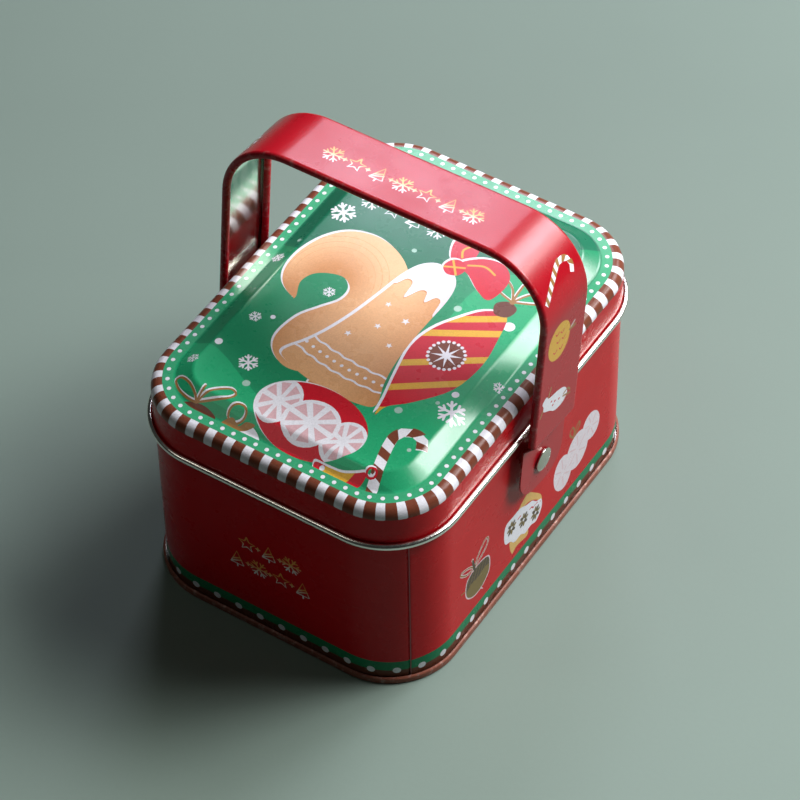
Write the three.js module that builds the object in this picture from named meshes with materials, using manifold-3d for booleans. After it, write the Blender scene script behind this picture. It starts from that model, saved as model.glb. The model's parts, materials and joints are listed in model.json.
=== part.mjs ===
// A small rectangular cookie tin with a lift-off lid and a swinging strap handle.
// Millimetres, +Z up. X runs across the tin, Y along it, and the tin stands on the plane Z = 0.
// Every sheet-metal piece is drawn as the centre line of its sheet, given the sheet's thickness,
// and swept round the tin's rounded rectangle or along the handle.

import * as THREE from 'three';
import { mergeVertices } from 'three/addons/utils/BufferGeometryUtils.js';
import Module from 'manifold-3d';

const wasm = await Module();
wasm.setup();

// ---------------------------------------------------------------- driving dimensions
const BODY_WIDTH = 74;            // across the outside of the wall, along X
const BODY_LENGTH = 100;          // across the outside of the wall, along Y
const CORNER_RADIUS = 16.5;       // outside of the wall
const SHEET = 0.3;                // tinplate thickness
const GAP = 0.3;                  // clearance between pieces that touch
const LID_SEAT = 0.5;             // clearance between the wall's curl and the lid's rim
const RIM_HEIGHT = 58.5;          // top of the lid's flat rim
const PANEL_RISE = 2.6;           // raised panel above the rim
const RIM_WIDTH = 6.0;            // flat rim and rounded edge, from the skirt to the bevel
const BEVEL_RUN = 3.6;            // horizontal run of the bevel between rim and panel
const RIM_ROUND = 2.3;            // radius of the lid's rounded edge
const LID_CURL_HEIGHT = 47.9;     // centre of the lid's curled lower edge
const LID_CURL_RADIUS = 0.68;
const BODY_CURL_RADIUS = 1.2;     // inward curl along the wall's top edge
const BEAD_HEIGHT = 1.9;          // rolled bead that joins the wall and the base
const BASE_RISE = 1.9;            // base panel above the surface the tin stands on
const PIVOT_HEIGHT = 35.1;        // axis of the two rivets
const STRAP_REACH = 59.6;         // from the pivot axis to the top of the bridge
const STRAP_WIDTH = 18;
const STRAP_HALF_SPAN = 41.6;     // from the middle of the tin to the outside of an arm
const STRAP_BEND_RADIUS = 16.2;
const HEM_RADIUS = 0.95;          // rolled side edges of the strap
const TAB_STANDOFF = 2.0;         // from the wall to the inside of a tab
const TAB_DROP = 7.6;             // from the pivot to the tab's lower end
const TAB_TOP = 8.2;              // from the pivot to the foot of the joggle
const JOGGLE_TOP = 10.2;          // from the pivot to the top of the joggle
const HANDLE_LEAN = THREE.MathUtils.degToRad(7);   // the handle stands leaning towards +Y
const RIVET_SHANK_RADIUS = 1.3;
const RIVET_HEAD_RADIUS = 2.9;
const RIVET_HEAD_HEIGHT = 0.9;
const RIVET_HOLE_RADIUS = 1.7;
const SPACER_RADIUS = 3.4;
const SEAM_ANGLE = THREE.MathUtils.degToRad(-42);  // lock seam, on the corner between -Y and +X
const SEAM_WIDTH = 4;
const SEAM_DEPTH = 0.5;

// ---------------------------------------------------------------- worked-out dimensions
const CORNER_STEPS = 6;           // flat facets round each 90 degree corner
const ROUND_SIDES = 24;           // facets round rivets and holes
const CORNER_X = BODY_WIDTH / 2 - CORNER_RADIUS;
const CORNER_Y = BODY_LENGTH / 2 - CORNER_RADIUS;
const OVERLAP = 2;                // a flat plate's overlap with the ring around it
const SKIRT_OFFSET = GAP + SHEET / 2;              // the skirt's centre line, outside the wall
const PANEL_OFFSET = SKIRT_OFFSET - RIM_WIDTH - BEVEL_RUN;
const WALL_TOP = RIM_HEIGHT - SHEET - LID_SEAT;
const TAB_INSIDE = BODY_WIDTH / 2 + TAB_STANDOFF;
const QUARTER = Math.PI / 2;

// ---------------------------------------------------------------- materials
const printedRed = new THREE.MeshStandardMaterial({ color: 0x9c1c24, roughness: 0.35, metalness: 0.1 });
const printedGreen = new THREE.MeshStandardMaterial({ color: 0x2f9a66, roughness: 0.3, metalness: 0.1 });
const bareTin = new THREE.MeshStandardMaterial({ color: 0xd8d6d0, roughness: 0.25, metalness: 1.0 });
const copperPrint = new THREE.MeshStandardMaterial({ color: 0x7a4a3a, roughness: 0.45, metalness: 0.2 });

// ---------------------------------------------------------------- helpers
// Turns any closed geometry into a manifold-3d solid with its faces pointing out.
function solid(geometry) {
  const bare = geometry.clone();
  bare.deleteAttribute('normal');
  bare.deleteAttribute('uv');
  const merged = mergeVertices(bare, 1e-5);
  const mesh = new wasm.Mesh({
    numProp: 3,
    vertProperties: new Float32Array(merged.attributes.position.array),
    triVerts: flipIfInsideOut(merged),
  });
  mesh.merge();
  return new wasm.Manifold(mesh);
}

// Returns the triangle list, turned over if the closed surface encloses a negative volume,
// and without the triangles that have two corners in one place.
function flipIfInsideOut(geometry) {
  const index = geometry.index.array;
  const position = geometry.attributes.position;
  const [a, b, c] = [new THREE.Vector3(), new THREE.Vector3(), new THREE.Vector3()];
  const kept = [];
  let volume = 0;
  for (let i = 0; i < index.length; i += 3) {
    if (index[i] === index[i + 1] || index[i + 1] === index[i + 2] || index[i] === index[i + 2]) continue;
    a.fromBufferAttribute(position, index[i]);
    b.fromBufferAttribute(position, index[i + 1]);
    c.fromBufferAttribute(position, index[i + 2]);
    volume += a.dot(b.cross(c));
    kept.push(index[i], index[i + 1], index[i + 2]);
  }
  return new Uint32Array(volume < 0 ? kept.reverse() : kept);
}

// The named mesh of a finished solid.
function part(name, manifold, material) {
  const { vertProperties, triVerts } = manifold.getMesh();
  const geometry = new THREE.BufferGeometry();
  geometry.setAttribute('position', new THREE.BufferAttribute(new Float32Array(vertProperties), 3));
  geometry.setIndex(new THREE.BufferAttribute(new Uint32Array(triVerts), 1));
  geometry.computeVertexNormals();
  const mesh = new THREE.Mesh(geometry, material);
  mesh.name = name;
  return mesh;
}

// The closed outline of a sheet with the given centre line: out along one side and back along the other.
function sheetOutline(centreLine, thickness = SHEET) {
  const sides = [[], []];
  centreLine.forEach((point, i) => {
    const before = centreLine[Math.max(i - 1, 0)];
    const after = centreLine[Math.min(i + 1, centreLine.length - 1)];
    const inward = new THREE.Vector2().subVectors(point, before).normalize();
    const outward = new THREE.Vector2().subVectors(after, point).normalize();
    if (i === 0) inward.copy(outward);
    if (i === centreLine.length - 1) outward.copy(inward);
    const along = inward.clone().add(outward).normalize();
    const mitre = thickness / 2 / along.dot(outward);
    const across = new THREE.Vector2(-along.y, along.x).multiplyScalar(mitre);
    sides[0].push(point.clone().add(across));
    sides[1].unshift(point.clone().sub(across));
  });
  return [...sides[0], ...sides[1]];
}

// Points along an arc, angles in degrees.
function arc(centreX, centreY, radius, from, to, steps) {
  const points = [];
  for (let i = 0; i <= steps; i += 1) {
    const angle = THREE.MathUtils.degToRad(from + ((to - from) * i) / steps);
    points.push(new THREE.Vector2(centreX + radius * Math.cos(angle), centreY + radius * Math.sin(angle)));
  }
  return points;
}

const point = (x, y) => new THREE.Vector2(x, y);

// Sweeps a closed outline round the tin. Outline points are (offset outwards from the wall's outside,
// height). It is a lathe whose four quarter turns are moved apart to the tin's corner centres.
function ringAround(outline) {
  const columns = 4 * (CORNER_STEPS + 1);
  const profile = outline.map((p) => point(CORNER_RADIUS + p.x, p.y));
  profile.push(profile[0].clone());
  const geometry = new THREE.LatheGeometry(profile, columns);
  const position = geometry.attributes.position;
  for (let column = 0; column <= columns; column += 1) {
    const quarter = Math.floor(column / (CORNER_STEPS + 1)) % 4;
    const step = column % (CORNER_STEPS + 1);
    const angle = (quarter + step / CORNER_STEPS) * QUARTER;
    const centreX = quarter < 2 ? CORNER_X : -CORNER_X;
    const centreZ = quarter === 0 || quarter === 3 ? CORNER_Y : -CORNER_Y;
    profile.forEach((p, row) => {
      const x = centreX + p.x * Math.sin(angle);
      const z = centreZ + p.x * Math.cos(angle);
      position.setXYZ(column * profile.length + row, x, p.y, z);
    });
  }
  geometry.rotateX(QUARTER);
  return solid(geometry);
}

// A flat rounded-rectangle plate, its edge at the given offset from the wall's outside.
function plate(offset, bottom, top) {
  const radius = CORNER_RADIUS + offset;
  const corners = [[1, 1], [-1, 1], [-1, -1], [1, -1]];
  const edge = corners.flatMap(([signX, signY], quarter) =>
    arc(signX * CORNER_X, signY * CORNER_Y, radius, quarter * 90, quarter * 90 + 90, CORNER_STEPS));
  const geometry = new THREE.ExtrudeGeometry(new THREE.Shape(edge), { depth: top - bottom, bevelEnabled: false });
  geometry.translate(0, 0, bottom);
  return solid(geometry);
}

// A cylinder along X from x = from to x = to, on the pivot axis.
function pivotCylinder(radius, from, to) {
  const geometry = new THREE.CylinderGeometry(radius, radius, to - from, ROUND_SIDES);
  geometry.rotateZ(QUARTER);
  geometry.translate((from + to) / 2, 0, PIVOT_HEIGHT);
  return solid(geometry);
}

// ---------------------------------------------------------------- wall
// One strip bent to the rounded rectangle: a flange hidden in the bead, the straight wall, and the
// top edge curled inwards. A lock seam thickens the inside of one corner.
function bodyWall() {
  const centre = -SHEET / 2;
  const curlX = centre - BODY_CURL_RADIUS + SHEET / 2;
  const curlRadius = BODY_CURL_RADIUS - SHEET / 2;
  const wall = ringAround(sheetOutline([
    point(centre, SHEET + GAP),
    point(centre, WALL_TOP - BODY_CURL_RADIUS),
    ...arc(curlX, WALL_TOP - BODY_CURL_RADIUS, curlRadius, 0, 270, 9).slice(1),
  ]));
  const seamBottom = BASE_RISE + 1;
  const seamTop = WALL_TOP - 2 * BODY_CURL_RADIUS - 1;
  const strip = new THREE.BoxGeometry(SEAM_DEPTH + SHEET / 2, SEAM_WIDTH, seamTop - seamBottom);
  strip.translate(CORNER_RADIUS - SHEET - SEAM_DEPTH / 2 + SHEET / 4, 0, (seamBottom + seamTop) / 2);
  strip.rotateZ(SEAM_ANGLE);
  strip.translate(CORNER_X, -CORNER_Y, 0);
  const middle = BODY_WIDTH / 2;
  return wall
    .add(solid(strip))
    .subtract(pivotCylinder(RIVET_HOLE_RADIUS, -middle - 1, -middle + 1))
    .subtract(pivotCylinder(RIVET_HOLE_RADIUS, middle - 1, middle + 1));
}

// ---------------------------------------------------------------- base
// The base panel, its step down inside the wall, and the bead rolled out and up round the wall's edge.
function basePlate() {
  const inside = -SHEET - GAP - SHEET / 2;
  const outside = GAP + SHEET / 2;
  const beadCentre = (inside + outside) / 2;
  const beadRadius = (outside - inside) / 2;
  const panelHeight = BASE_RISE - SHEET / 2;
  const stepRadius = 0.5;
  const panelEdge = inside - stepRadius;
  const foot = SHEET / 2;
  const bevel = 0.6 * beadRadius;
  const beadSide = outside + SHEET / 2;
  const bead = ringAround(sheetOutline([
    point(panelEdge - 2 * OVERLAP, panelHeight),
    ...arc(panelEdge, panelHeight - stepRadius, stepRadius, 90, 0, 3),
    point(inside, foot + bevel),
    point(beadCentre - bevel, foot),
    point(beadCentre + bevel, foot),
    point(beadSide, foot + bevel),
    point(beadSide, BEAD_HEIGHT - foot - bevel),
    point(beadSide - foot, BEAD_HEIGHT - foot),
  ]));
  const panel = plate(panelEdge - OVERLAP, BASE_RISE - SHEET, BASE_RISE);
  return bead.add(panel);
}

// ---------------------------------------------------------------- lid
// One drawn sheet from the raised panel over the bevel, the flat rim and the rounded edge, down the
// skirt, to the lower edge curled outwards.
function lidShell() {
  const panelTop = RIM_HEIGHT + PANEL_RISE - SHEET / 2;
  const rimTop = RIM_HEIGHT - SHEET / 2;
  const bevelFoot = PANEL_OFFSET + BEVEL_RUN;
  const round = RIM_ROUND - SHEET / 2;
  const curlRadius = LID_CURL_RADIUS - SHEET / 2;
  const curlX = SKIRT_OFFSET + curlRadius;
  const ease = 0.6;
  const slope = PANEL_RISE / BEVEL_RUN;
  const ring = ringAround(sheetOutline([
    point(PANEL_OFFSET - 2 * OVERLAP, panelTop),
    point(PANEL_OFFSET - ease, panelTop),
    point(PANEL_OFFSET + ease, panelTop - ease * slope),
    point(bevelFoot - ease, rimTop + ease * slope),
    point(bevelFoot + ease, rimTop),
    ...arc(SKIRT_OFFSET - round, rimTop - round, round, 90, 0, 5),
    ...arc(curlX, LID_CURL_HEIGHT, curlRadius, 180, 450, 9),
  ]));
  const panel = plate(PANEL_OFFSET - OVERLAP, panelTop - SHEET / 2, panelTop + SHEET / 2);
  return ring.add(panel);
}

// ---------------------------------------------------------------- handle
// The strap's section: x across the strap, y inwards. The web is on the outside, and each edge is
// rolled inwards into an open hem.
function strapSection() {
  const hem = HEM_RADIUS - SHEET / 2;
  const hemX = STRAP_WIDTH / 2 - HEM_RADIUS;
  const left = arc(-hemX, HEM_RADIUS, hem, 0, 270, 9).map((p) => point(-2 * hemX - p.x, p.y));
  const right = arc(hemX, HEM_RADIUS, hem, -90, 180, 9);
  return new THREE.Shape(sheetOutline([...left.slice(0, -1), point(-hemX, SHEET / 2), ...right]));
}

// The arch that the strap's outside follows, in the XZ plane: up one arm, round a bend, along the
// bridge, and down again. Its stations fall on the ends of the bends.
class ArchPath extends THREE.Curve {
  constructor(bottom) {
    super();
    const top = PIVOT_HEIGHT + STRAP_REACH;
    const bendX = STRAP_HALF_SPAN - STRAP_BEND_RADIUS;
    const bendZ = top - STRAP_BEND_RADIUS;
    const steps = 8;
    this.stations = [[-STRAP_HALF_SPAN, bottom, 0]];
    for (const [side, from] of [[-1, 180], [1, 90]]) {
      for (let i = 0; i <= steps; i += 1) {
        const angle = THREE.MathUtils.degToRad(from - (90 * i) / steps);
        const x = side * bendX + STRAP_BEND_RADIUS * Math.cos(angle);
        this.stations.push([x, bendZ + STRAP_BEND_RADIUS * Math.sin(angle), Math.PI - angle]);
      }
    }
    this.stations.push([STRAP_HALF_SPAN, bottom, Math.PI]);
  }

  station(u) {
    return this.stations[Math.round(u * (this.stations.length - 1))];
  }

  getPointAt(u, target = new THREE.Vector3()) {
    const [x, z] = this.station(u);
    return target.set(x, 0, z);
  }

  getTangentAt(u, target = new THREE.Vector3()) {
    const turn = this.station(u)[2];
    return target.set(Math.sin(turn), 0, Math.cos(turn));
  }
}

// A round-cornered tab and the joggle that brings the strap in to it, on the +X side.
function strapEnd() {
  const half = STRAP_WIDTH / 2;
  const round = 7;
  const lap = 0.8;
  const shape = new THREE.Shape([
    point(half, TAB_TOP),
    ...arc(half - round, -TAB_DROP + round, round, 0, -90, 6),
    ...arc(-half + round, -TAB_DROP + round, round, -90, -180, 6),
    point(-half, TAB_TOP),
  ]);
  const tab = new THREE.ExtrudeGeometry(shape, { depth: SHEET, bevelEnabled: false });
  tab.rotateX(QUARTER);
  tab.rotateZ(QUARTER);
  tab.translate(TAB_INSIDE, 0, PIVOT_HEIGHT);
  const joggleShape = new THREE.Shape(sheetOutline([
    point(TAB_INSIDE + SHEET / 2, TAB_TOP - lap),
    point(TAB_INSIDE + SHEET / 2, TAB_TOP),
    point(STRAP_HALF_SPAN - SHEET / 2, JOGGLE_TOP),
    point(STRAP_HALF_SPAN - SHEET / 2, JOGGLE_TOP + lap),
  ]));
  const joggleHalf = half - HEM_RADIUS;
  const joggle = new THREE.ExtrudeGeometry(joggleShape, { depth: 2 * joggleHalf, bevelEnabled: false });
  joggle.rotateX(QUARTER);
  joggle.translate(0, joggleHalf, PIVOT_HEIGHT);
  return solid(tab).add(solid(joggle));
}

function handleStrap() {
  const path = new ArchPath(PIVOT_HEIGHT + JOGGLE_TOP);
  const steps = path.stations.length - 1;
  const arch = new THREE.ExtrudeGeometry(strapSection(), { steps, extrudePath: path, bevelEnabled: false });
  const end = strapEnd();
  return solid(arch)
    .add(end)
    .add(end.mirror([1, 0, 0]))
    .subtract(pivotCylinder(RIVET_HOLE_RADIUS, -STRAP_HALF_SPAN, STRAP_HALF_SPAN));
}

// ---------------------------------------------------------------- rivets and spacers
// A rivet along X: a domed head outside the tab, the shank, and the clinched tail inside the wall.
function rivet(side) {
  const headFoot = TAB_INSIDE + SHEET + GAP;
  const tailTop = BODY_WIDTH / 2 - SHEET - GAP;
  const tailRadius = 2.2;
  const tailHeight = 0.7;
  const tailBevel = 0.4;
  const domeEdge = 0.2;
  const domeSteps = 6;
  const profile = [
    point(0, tailTop - tailHeight),
    point(tailRadius - tailBevel, tailTop - tailHeight),
    point(tailRadius, tailTop - tailHeight + tailBevel),
    point(tailRadius, tailTop),
    point(RIVET_SHANK_RADIUS, tailTop),
    point(RIVET_SHANK_RADIUS, headFoot),
    point(RIVET_HEAD_RADIUS, headFoot),
  ];
  for (let i = 0; i < domeSteps; i += 1) {
    const angle = (i / domeSteps) * QUARTER;
    const height = domeEdge + (RIVET_HEAD_HEIGHT - domeEdge) * Math.sin(angle);
    profile.push(point(RIVET_HEAD_RADIUS * Math.cos(angle), headFoot + height));
  }
  profile.push(point(0, headFoot + RIVET_HEAD_HEIGHT));
  const geometry = new THREE.LatheGeometry(profile, ROUND_SIDES);
  geometry.rotateZ(-side * QUARTER);
  geometry.translate(0, 0, PIVOT_HEIGHT);
  return solid(geometry);
}

// The collar that holds a tab off the wall.
function spacer(side) {
  const from = BODY_WIDTH / 2 + GAP;
  const to = TAB_INSIDE - GAP;
  const ends = side > 0 ? [from, to] : [-to, -from];
  return pivotCylinder(SPACER_RADIUS, ...ends).subtract(pivotCylinder(RIVET_HOLE_RADIUS, ends[0] - 1, ends[1] + 1));
}

// ---------------------------------------------------------------- assembly
const tin = new THREE.Group();
tin.add(part('body_wall', bodyWall(), printedRed));
tin.add(part('base_plate', basePlate(), copperPrint));
tin.add(part('lid_shell', lidShell(), printedGreen));
for (const [name, side] of [['left', -1], ['right', 1]]) {
  tin.add(part(`rivet_${name}`, rivet(side), bareTin));
  tin.add(part(`spacer_${name}`, spacer(side), bareTin));
}

// The handle is built standing straight and leans about the rivets' axis.
const handle = new THREE.Group();
const strap = part('handle_strap', handleStrap(), printedRed);
strap.position.z = -PIVOT_HEIGHT;
handle.add(strap);
handle.position.z = PIVOT_HEIGHT;
handle.rotation.x = -HANDLE_LEAN;
tin.add(handle);

export default tin;
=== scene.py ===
import json
import math

import bpy
from mathutils import Matrix, Vector
from mathutils.geometry import delaunay_2d_cdt


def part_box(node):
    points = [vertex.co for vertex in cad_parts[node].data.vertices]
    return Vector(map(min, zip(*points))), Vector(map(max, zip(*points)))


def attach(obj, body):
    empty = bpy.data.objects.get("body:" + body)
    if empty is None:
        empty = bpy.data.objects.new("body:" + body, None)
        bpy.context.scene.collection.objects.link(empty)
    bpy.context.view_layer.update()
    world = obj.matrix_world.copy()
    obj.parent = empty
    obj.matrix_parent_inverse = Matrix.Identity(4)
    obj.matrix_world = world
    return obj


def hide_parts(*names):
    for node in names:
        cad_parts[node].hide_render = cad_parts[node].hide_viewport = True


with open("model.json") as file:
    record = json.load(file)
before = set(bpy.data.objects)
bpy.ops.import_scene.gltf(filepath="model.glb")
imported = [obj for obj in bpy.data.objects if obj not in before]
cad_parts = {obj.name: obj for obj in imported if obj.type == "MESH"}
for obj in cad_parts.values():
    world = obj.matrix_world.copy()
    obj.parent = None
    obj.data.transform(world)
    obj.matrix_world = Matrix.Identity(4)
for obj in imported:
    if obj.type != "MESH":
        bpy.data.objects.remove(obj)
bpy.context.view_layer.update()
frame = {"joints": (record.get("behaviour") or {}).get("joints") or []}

MM = 0.001


def box_mm(node):
    """The lowest and highest corner of a CAD node, in millimetres."""
    return [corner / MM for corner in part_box(node)]


# ---------------------------------------------------------------- sizes, in millimetres
WALL_LOW, WALL_HIGH = box_mm("body_wall")
BASE_HIGH = box_mm("base_plate")[1]
LID_HIGH = box_mm("lid_shell")[1]
STRAP_HIGH = box_mm("handle_strap")[1]
RIVET_LOW, RIVET_HIGH = box_mm("rivet_right")
SPACER_LOW, SPACER_HIGH = box_mm("spacer_right")
SWING = next(joint for joint in frame["joints"] if joint["name"] == "handle_swing")
PIVOT_Z = SWING["pos_m"][2] / MM

HALF_X, HALF_Y = WALL_HIGH.x, WALL_HIGH.y
CORNER = 16.5                        # radius of the wall's corners
SHEET = 0.3
CORE_X, CORE_Y = HALF_X - CORNER, HALF_Y - CORNER
CORNER_ARC = CORNER * math.pi / 2
PERIMETER = 4 * (CORE_X + CORE_Y + CORNER_ARC)
CORNER_STEPS = 18

PANEL_RISE = 2.6                     # the lid's raised panel above its rim
PANEL_CROWN = 0.0012                 # how far the panel's normal leans out, per millimetre from its middle
BEVEL_RUN = 3.95
RIM_FALL = 3.5                       # degrees that the rim slopes outwards
BEVEL_FOOT = -5.2                    # offsets are from the outside of the wall, outwards
BEVEL_HEAD = BEVEL_FOOT - BEVEL_RUN
SKIRT = 0.4
RIM_ROUND = 2.3
LID_CURL_Z = 47.9

BAND_INSIDE, BAND_OUTSIDE = -4.75, -2.35    # the dotted band on the lid's rim
BAND_MIDDLE = (BAND_INSIDE + BAND_OUTSIDE) / 2
STRIPE_END_Z = 55.9
STRIPES = 67
STRIPE_PITCH = PERIMETER / STRIPES
STRIPE_WHITE = 0.44 * STRIPE_PITCH
STRIPE_STARTS = [STRIPE_PITCH * (i + 0.5) - STRIPE_WHITE / 2 for i in range(STRIPES)]
STRIPE_ROUND = 0.35                  # at the corners of their lower ends
RIM_DOTS = 104
RIM_DOT = 0.5                        # radius

STRAP_HALF_SPAN = STRAP_HIGH.x
STRAP_REACH = 59.6                   # from the pivot to the outside of the bridge
STRAP_BEND = 16.2
STRAP_HALF_WIDTH = 9.0
HEM = 0.95                           # radius of the strap's rolled edges
TAB_DROP = 7.6                       # from the pivot down to the tab's end
TAB_OUTSIDE = 39.3
TAB_ROUND = 7.0
JOGGLE_FOOT, JOGGLE_TOP = 8.2, 10.2  # above the pivot
LEAN = math.radians(7)               # the handle leans towards +Y at rest
RIVET_HOLE = 1.7                     # radius


# ---------------------------------------------------------------- inks
INK_STRENGTH = 0.75                  # how light the inks are, against their names


def srgb(red, green, blue, foil=0.0):
    """An ink: linear colour, with the share of metallic foil as its fourth value."""
    def linear(value):
        value /= 255
        return value / 12.92 if value <= 0.04045 else ((value + 0.055) / 1.055) ** 2.4
    return (*(INK_STRENGTH * linear(value) for value in (red, green, blue)), foil)


def mixed(one, other, share):
    return tuple(a + (b - a) * min(max(share, 0.0), 1.0) for a, b in zip(one, other))


WHITE = srgb(236, 235, 243)
RED = srgb(198, 10, 22)
STRAP_RED = srgb(174, 13, 30)
DEEP_RED = srgb(204, 26, 46)
GREEN_DARK = srgb(30, 112, 82)
GREEN_MID = srgb(34, 140, 96)
GREEN_BRIGHT = srgb(40, 168, 114)
BAND_GREEN = srgb(58, 164, 116)
WALL_GREEN = srgb(22, 128, 84)
BROWN = srgb(122, 66, 48)
COCOA = srgb(104, 56, 40)
TAN = srgb(226, 172, 122)
TAN_LIGHT = srgb(238, 190, 144)
TAN_DARK = srgb(204, 142, 90)
YELLOW = srgb(222, 172, 58)
KRAFT = srgb(160, 116, 66)
OLIVE = srgb(128, 108, 62)
SEPIA = srgb(84, 70, 56)
PINK = srgb(222, 180, 186)
COPPER = srgb(142, 84, 68)
GOLD = srgb(244, 168, 88, 0.1)

# How far each kind of edge is rubbed back to the metal, from 0 to 1.
CUT_WEAR, HEM_WEAR, BEAD_WEAR = 0.6, 0.12, 0.2


# ---------------------------------------------------------------- mesh builder
class Sheetwork:
    """Collects faces with the normal and ink of each corner, and joins what touches."""
    WELD = 0.001
    OFF_GRID = 0.317                 # keeps round numbers off the borders of the welding grid

    def __init__(self):
        self.points, self.seen, self.faces = [], {}, []
        self.normals, self.inks, self.wear, self.slots = [], [], [], []

    def vertex(self, point):
        key = tuple(math.floor(c / self.WELD + self.OFF_GRID) for c in point)
        if key not in self.seen:
            self.seen[key] = len(self.points)
            self.points.append(tuple(point))
        return self.seen[key]

    def face(self, corners, inks, slot=0, wear=0.0):
        """A face with an ink for each of its corners, which are (point, normal) pairs. It is turned to
        look the way that its normals do."""
        kept = []
        for (point, normal), ink in zip(corners, inks):
            index = self.vertex(point)
            if index not in [k[0] for k in kept]:
                kept.append((index, normal, ink))
        if len(kept) < 3:
            return
        a, b, c = (Vector(self.points[k[0]]) for k in (kept[0], kept[1], kept[-1]))
        flat = (b - a).cross(c - a)
        if flat.dot(sum((Vector(k[1]) for k in kept), Vector())) < 0:
            kept.reverse()
        self.faces.append([k[0] for k in kept])
        self.slots.append(slot)
        for _, normal, ink in kept:
            self.normals.append(normal)
            self.inks.extend(ink)
            self.wear.append(wear)

    def plain(self, corners, ink, slot=0, wear=0.0):
        """A face of one ink."""
        self.face(corners, [ink] * len(corners), slot, wear)

    def flat(self, points, normal, ink, slot=0, wear=0.0):
        """A face of one ink whose corners share a normal."""
        self.plain([(point, normal) for point in points], ink, slot, wear)

    def piece(self, name, materials, body, slot, *nodes):
        mesh = bpy.data.meshes.new(name)
        mesh.from_pydata([Vector(p) * MM for p in self.points], [], self.faces)
        for material in materials:
            mesh.materials.append(material)
        mesh.polygons.foreach_set("material_index", self.slots)
        mesh.polygons.foreach_set("use_smooth", [True] * len(self.faces))
        mesh.color_attributes.new("ink", "FLOAT_COLOR", "CORNER").data.foreach_set("color", self.inks)
        mesh.attributes.new("wear", "FLOAT", "CORNER").data.foreach_set("value", self.wear)
        mesh.normals_split_custom_set([Vector(n).normalized() for n in self.normals])
        mesh.update()
        piece = bpy.data.objects.new(name, mesh)
        bpy.context.scene.collection.objects.link(piece)
        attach(piece, body)
        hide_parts(*nodes)
        return piece


class Profile:
    """The printed side of a sheet in section, drawn by walking along it. The printed side is on the
    left of the walk, and the metal on its right."""

    def __init__(self, across, height, heading):
        self.rows = [(across, height, math.radians(heading), 0.0)]

    def forward(self, length, steps=1):
        for _ in range(steps):
            x, z, heading, way = self.rows[-1]
            step = length / steps
            ahead = (x + step * math.cos(heading), z + step * math.sin(heading))
            self.rows.append((*ahead, heading, way + step))
        return self

    def turn(self, degrees, radius, steps):
        """Turns left for positive degrees, along an arc of the given radius."""
        x, z, heading, way = self.rows[-1]
        side = 1 if degrees > 0 else -1
        centre = (x - side * radius * math.sin(heading), z + side * radius * math.cos(heading))
        for i in range(1, steps + 1):
            angle = math.radians(degrees) * i / steps
            new = heading + angle
            ahead = (centre[0] + side * radius * math.sin(new), centre[1] - side * radius * math.cos(new))
            self.rows.append((*ahead, new, way + abs(angle) * radius))
        return self

    def at(self, way, key=3):
        """The row at a distance along the walk, or with key=0 at an offset."""
        rows = self.rows
        if way <= rows[0][key]:
            return rows[0]
        for low, high in zip(rows, rows[1:]):
            if way <= high[key] and high[key] > low[key]:
                share = (way - low[key]) / (high[key] - low[key])
                return tuple(a + (b - a) * share for a, b in zip(low, high))
        return rows[-1]


def sided(row, depth=0.0):
    """(across, height, normal across, normal up) of a row, at a depth below the printed side."""
    x, z, heading, _ = row
    nx, nz = -math.sin(heading), math.cos(heading)
    side = -1 if depth > 0 else 1
    return x - depth * nx, z - depth * nz, side * nx, side * nz


# ---------------------------------------------------------------- the tin's rounded rectangle
def station(way):
    """The point of the wall's outline at a distance along it, and its outward normal. It starts in the
    middle of the back side and runs counterclockwise seen from above."""
    way %= PERIMETER
    x, y, heading = 0.0, HALF_Y, math.pi
    for straight in (CORE_X, 2 * CORE_Y, 2 * CORE_X, 2 * CORE_Y, CORE_X):
        normal = (math.sin(heading), -math.cos(heading))
        step = min(way, straight)
        x += step * math.cos(heading)
        y += step * math.sin(heading)
        way -= step
        if way <= 1e-9:
            return x, y, *normal
        centre = (x - CORNER * normal[0], y - CORNER * normal[1])
        turned = heading + min(way, CORNER_ARC) / CORNER
        normal = (math.sin(turned), -math.cos(turned))
        x, y = centre[0] + CORNER * normal[0], centre[1] + CORNER * normal[1]
        if way <= CORNER_ARC + 1e-9:
            return x, y, *normal
        way -= CORNER_ARC
        heading += math.pi / 2
    return x, y, *normal


def corner_stations(steps=CORNER_STEPS):
    """Distances along the outline that divide its four corners into steps."""
    found, start = [], 0.0
    for straight in (CORE_X, 2 * CORE_Y, 2 * CORE_X, 2 * CORE_Y):
        start += straight
        found += [start + CORNER_ARC * i / steps for i in range(steps + 1)]
        start += CORNER_ARC
    return found


def outline_at(offset, ways):
    """The closed outline at an offset from the wall, as plan points."""
    return [(x + offset * nx, y + offset * ny) for x, y, nx, ny in map(station, ways)]


def offset_of(x, y):
    """The offset of a plan point from the wall, and the direction that it is measured in."""
    dx, dy = max(abs(x) - CORE_X, 0.0), max(abs(y) - CORE_Y, 0.0)
    far = math.hypot(dx, dy)
    if far < 1e-9:
        return -CORNER, 0.0, 0.0
    return far - CORNER, math.copysign(dx / far, x), math.copysign(dy / far, y)


def sorted_unique(values, gap=0.01):
    """The values in order, without those that follow another closely."""
    found = []
    for value in sorted(values):
        if not found or value - found[-1] > gap:
            found.append(value)
    return found


# ---------------------------------------------------------------- artwork
def ccw(outline):
    """The outline in its counterclockwise order."""
    area = sum(a[0] * b[1] - b[0] * a[1] for a, b in zip(outline, outline[1:] + outline[:1]))
    return outline if area > 0 else outline[::-1]


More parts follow.
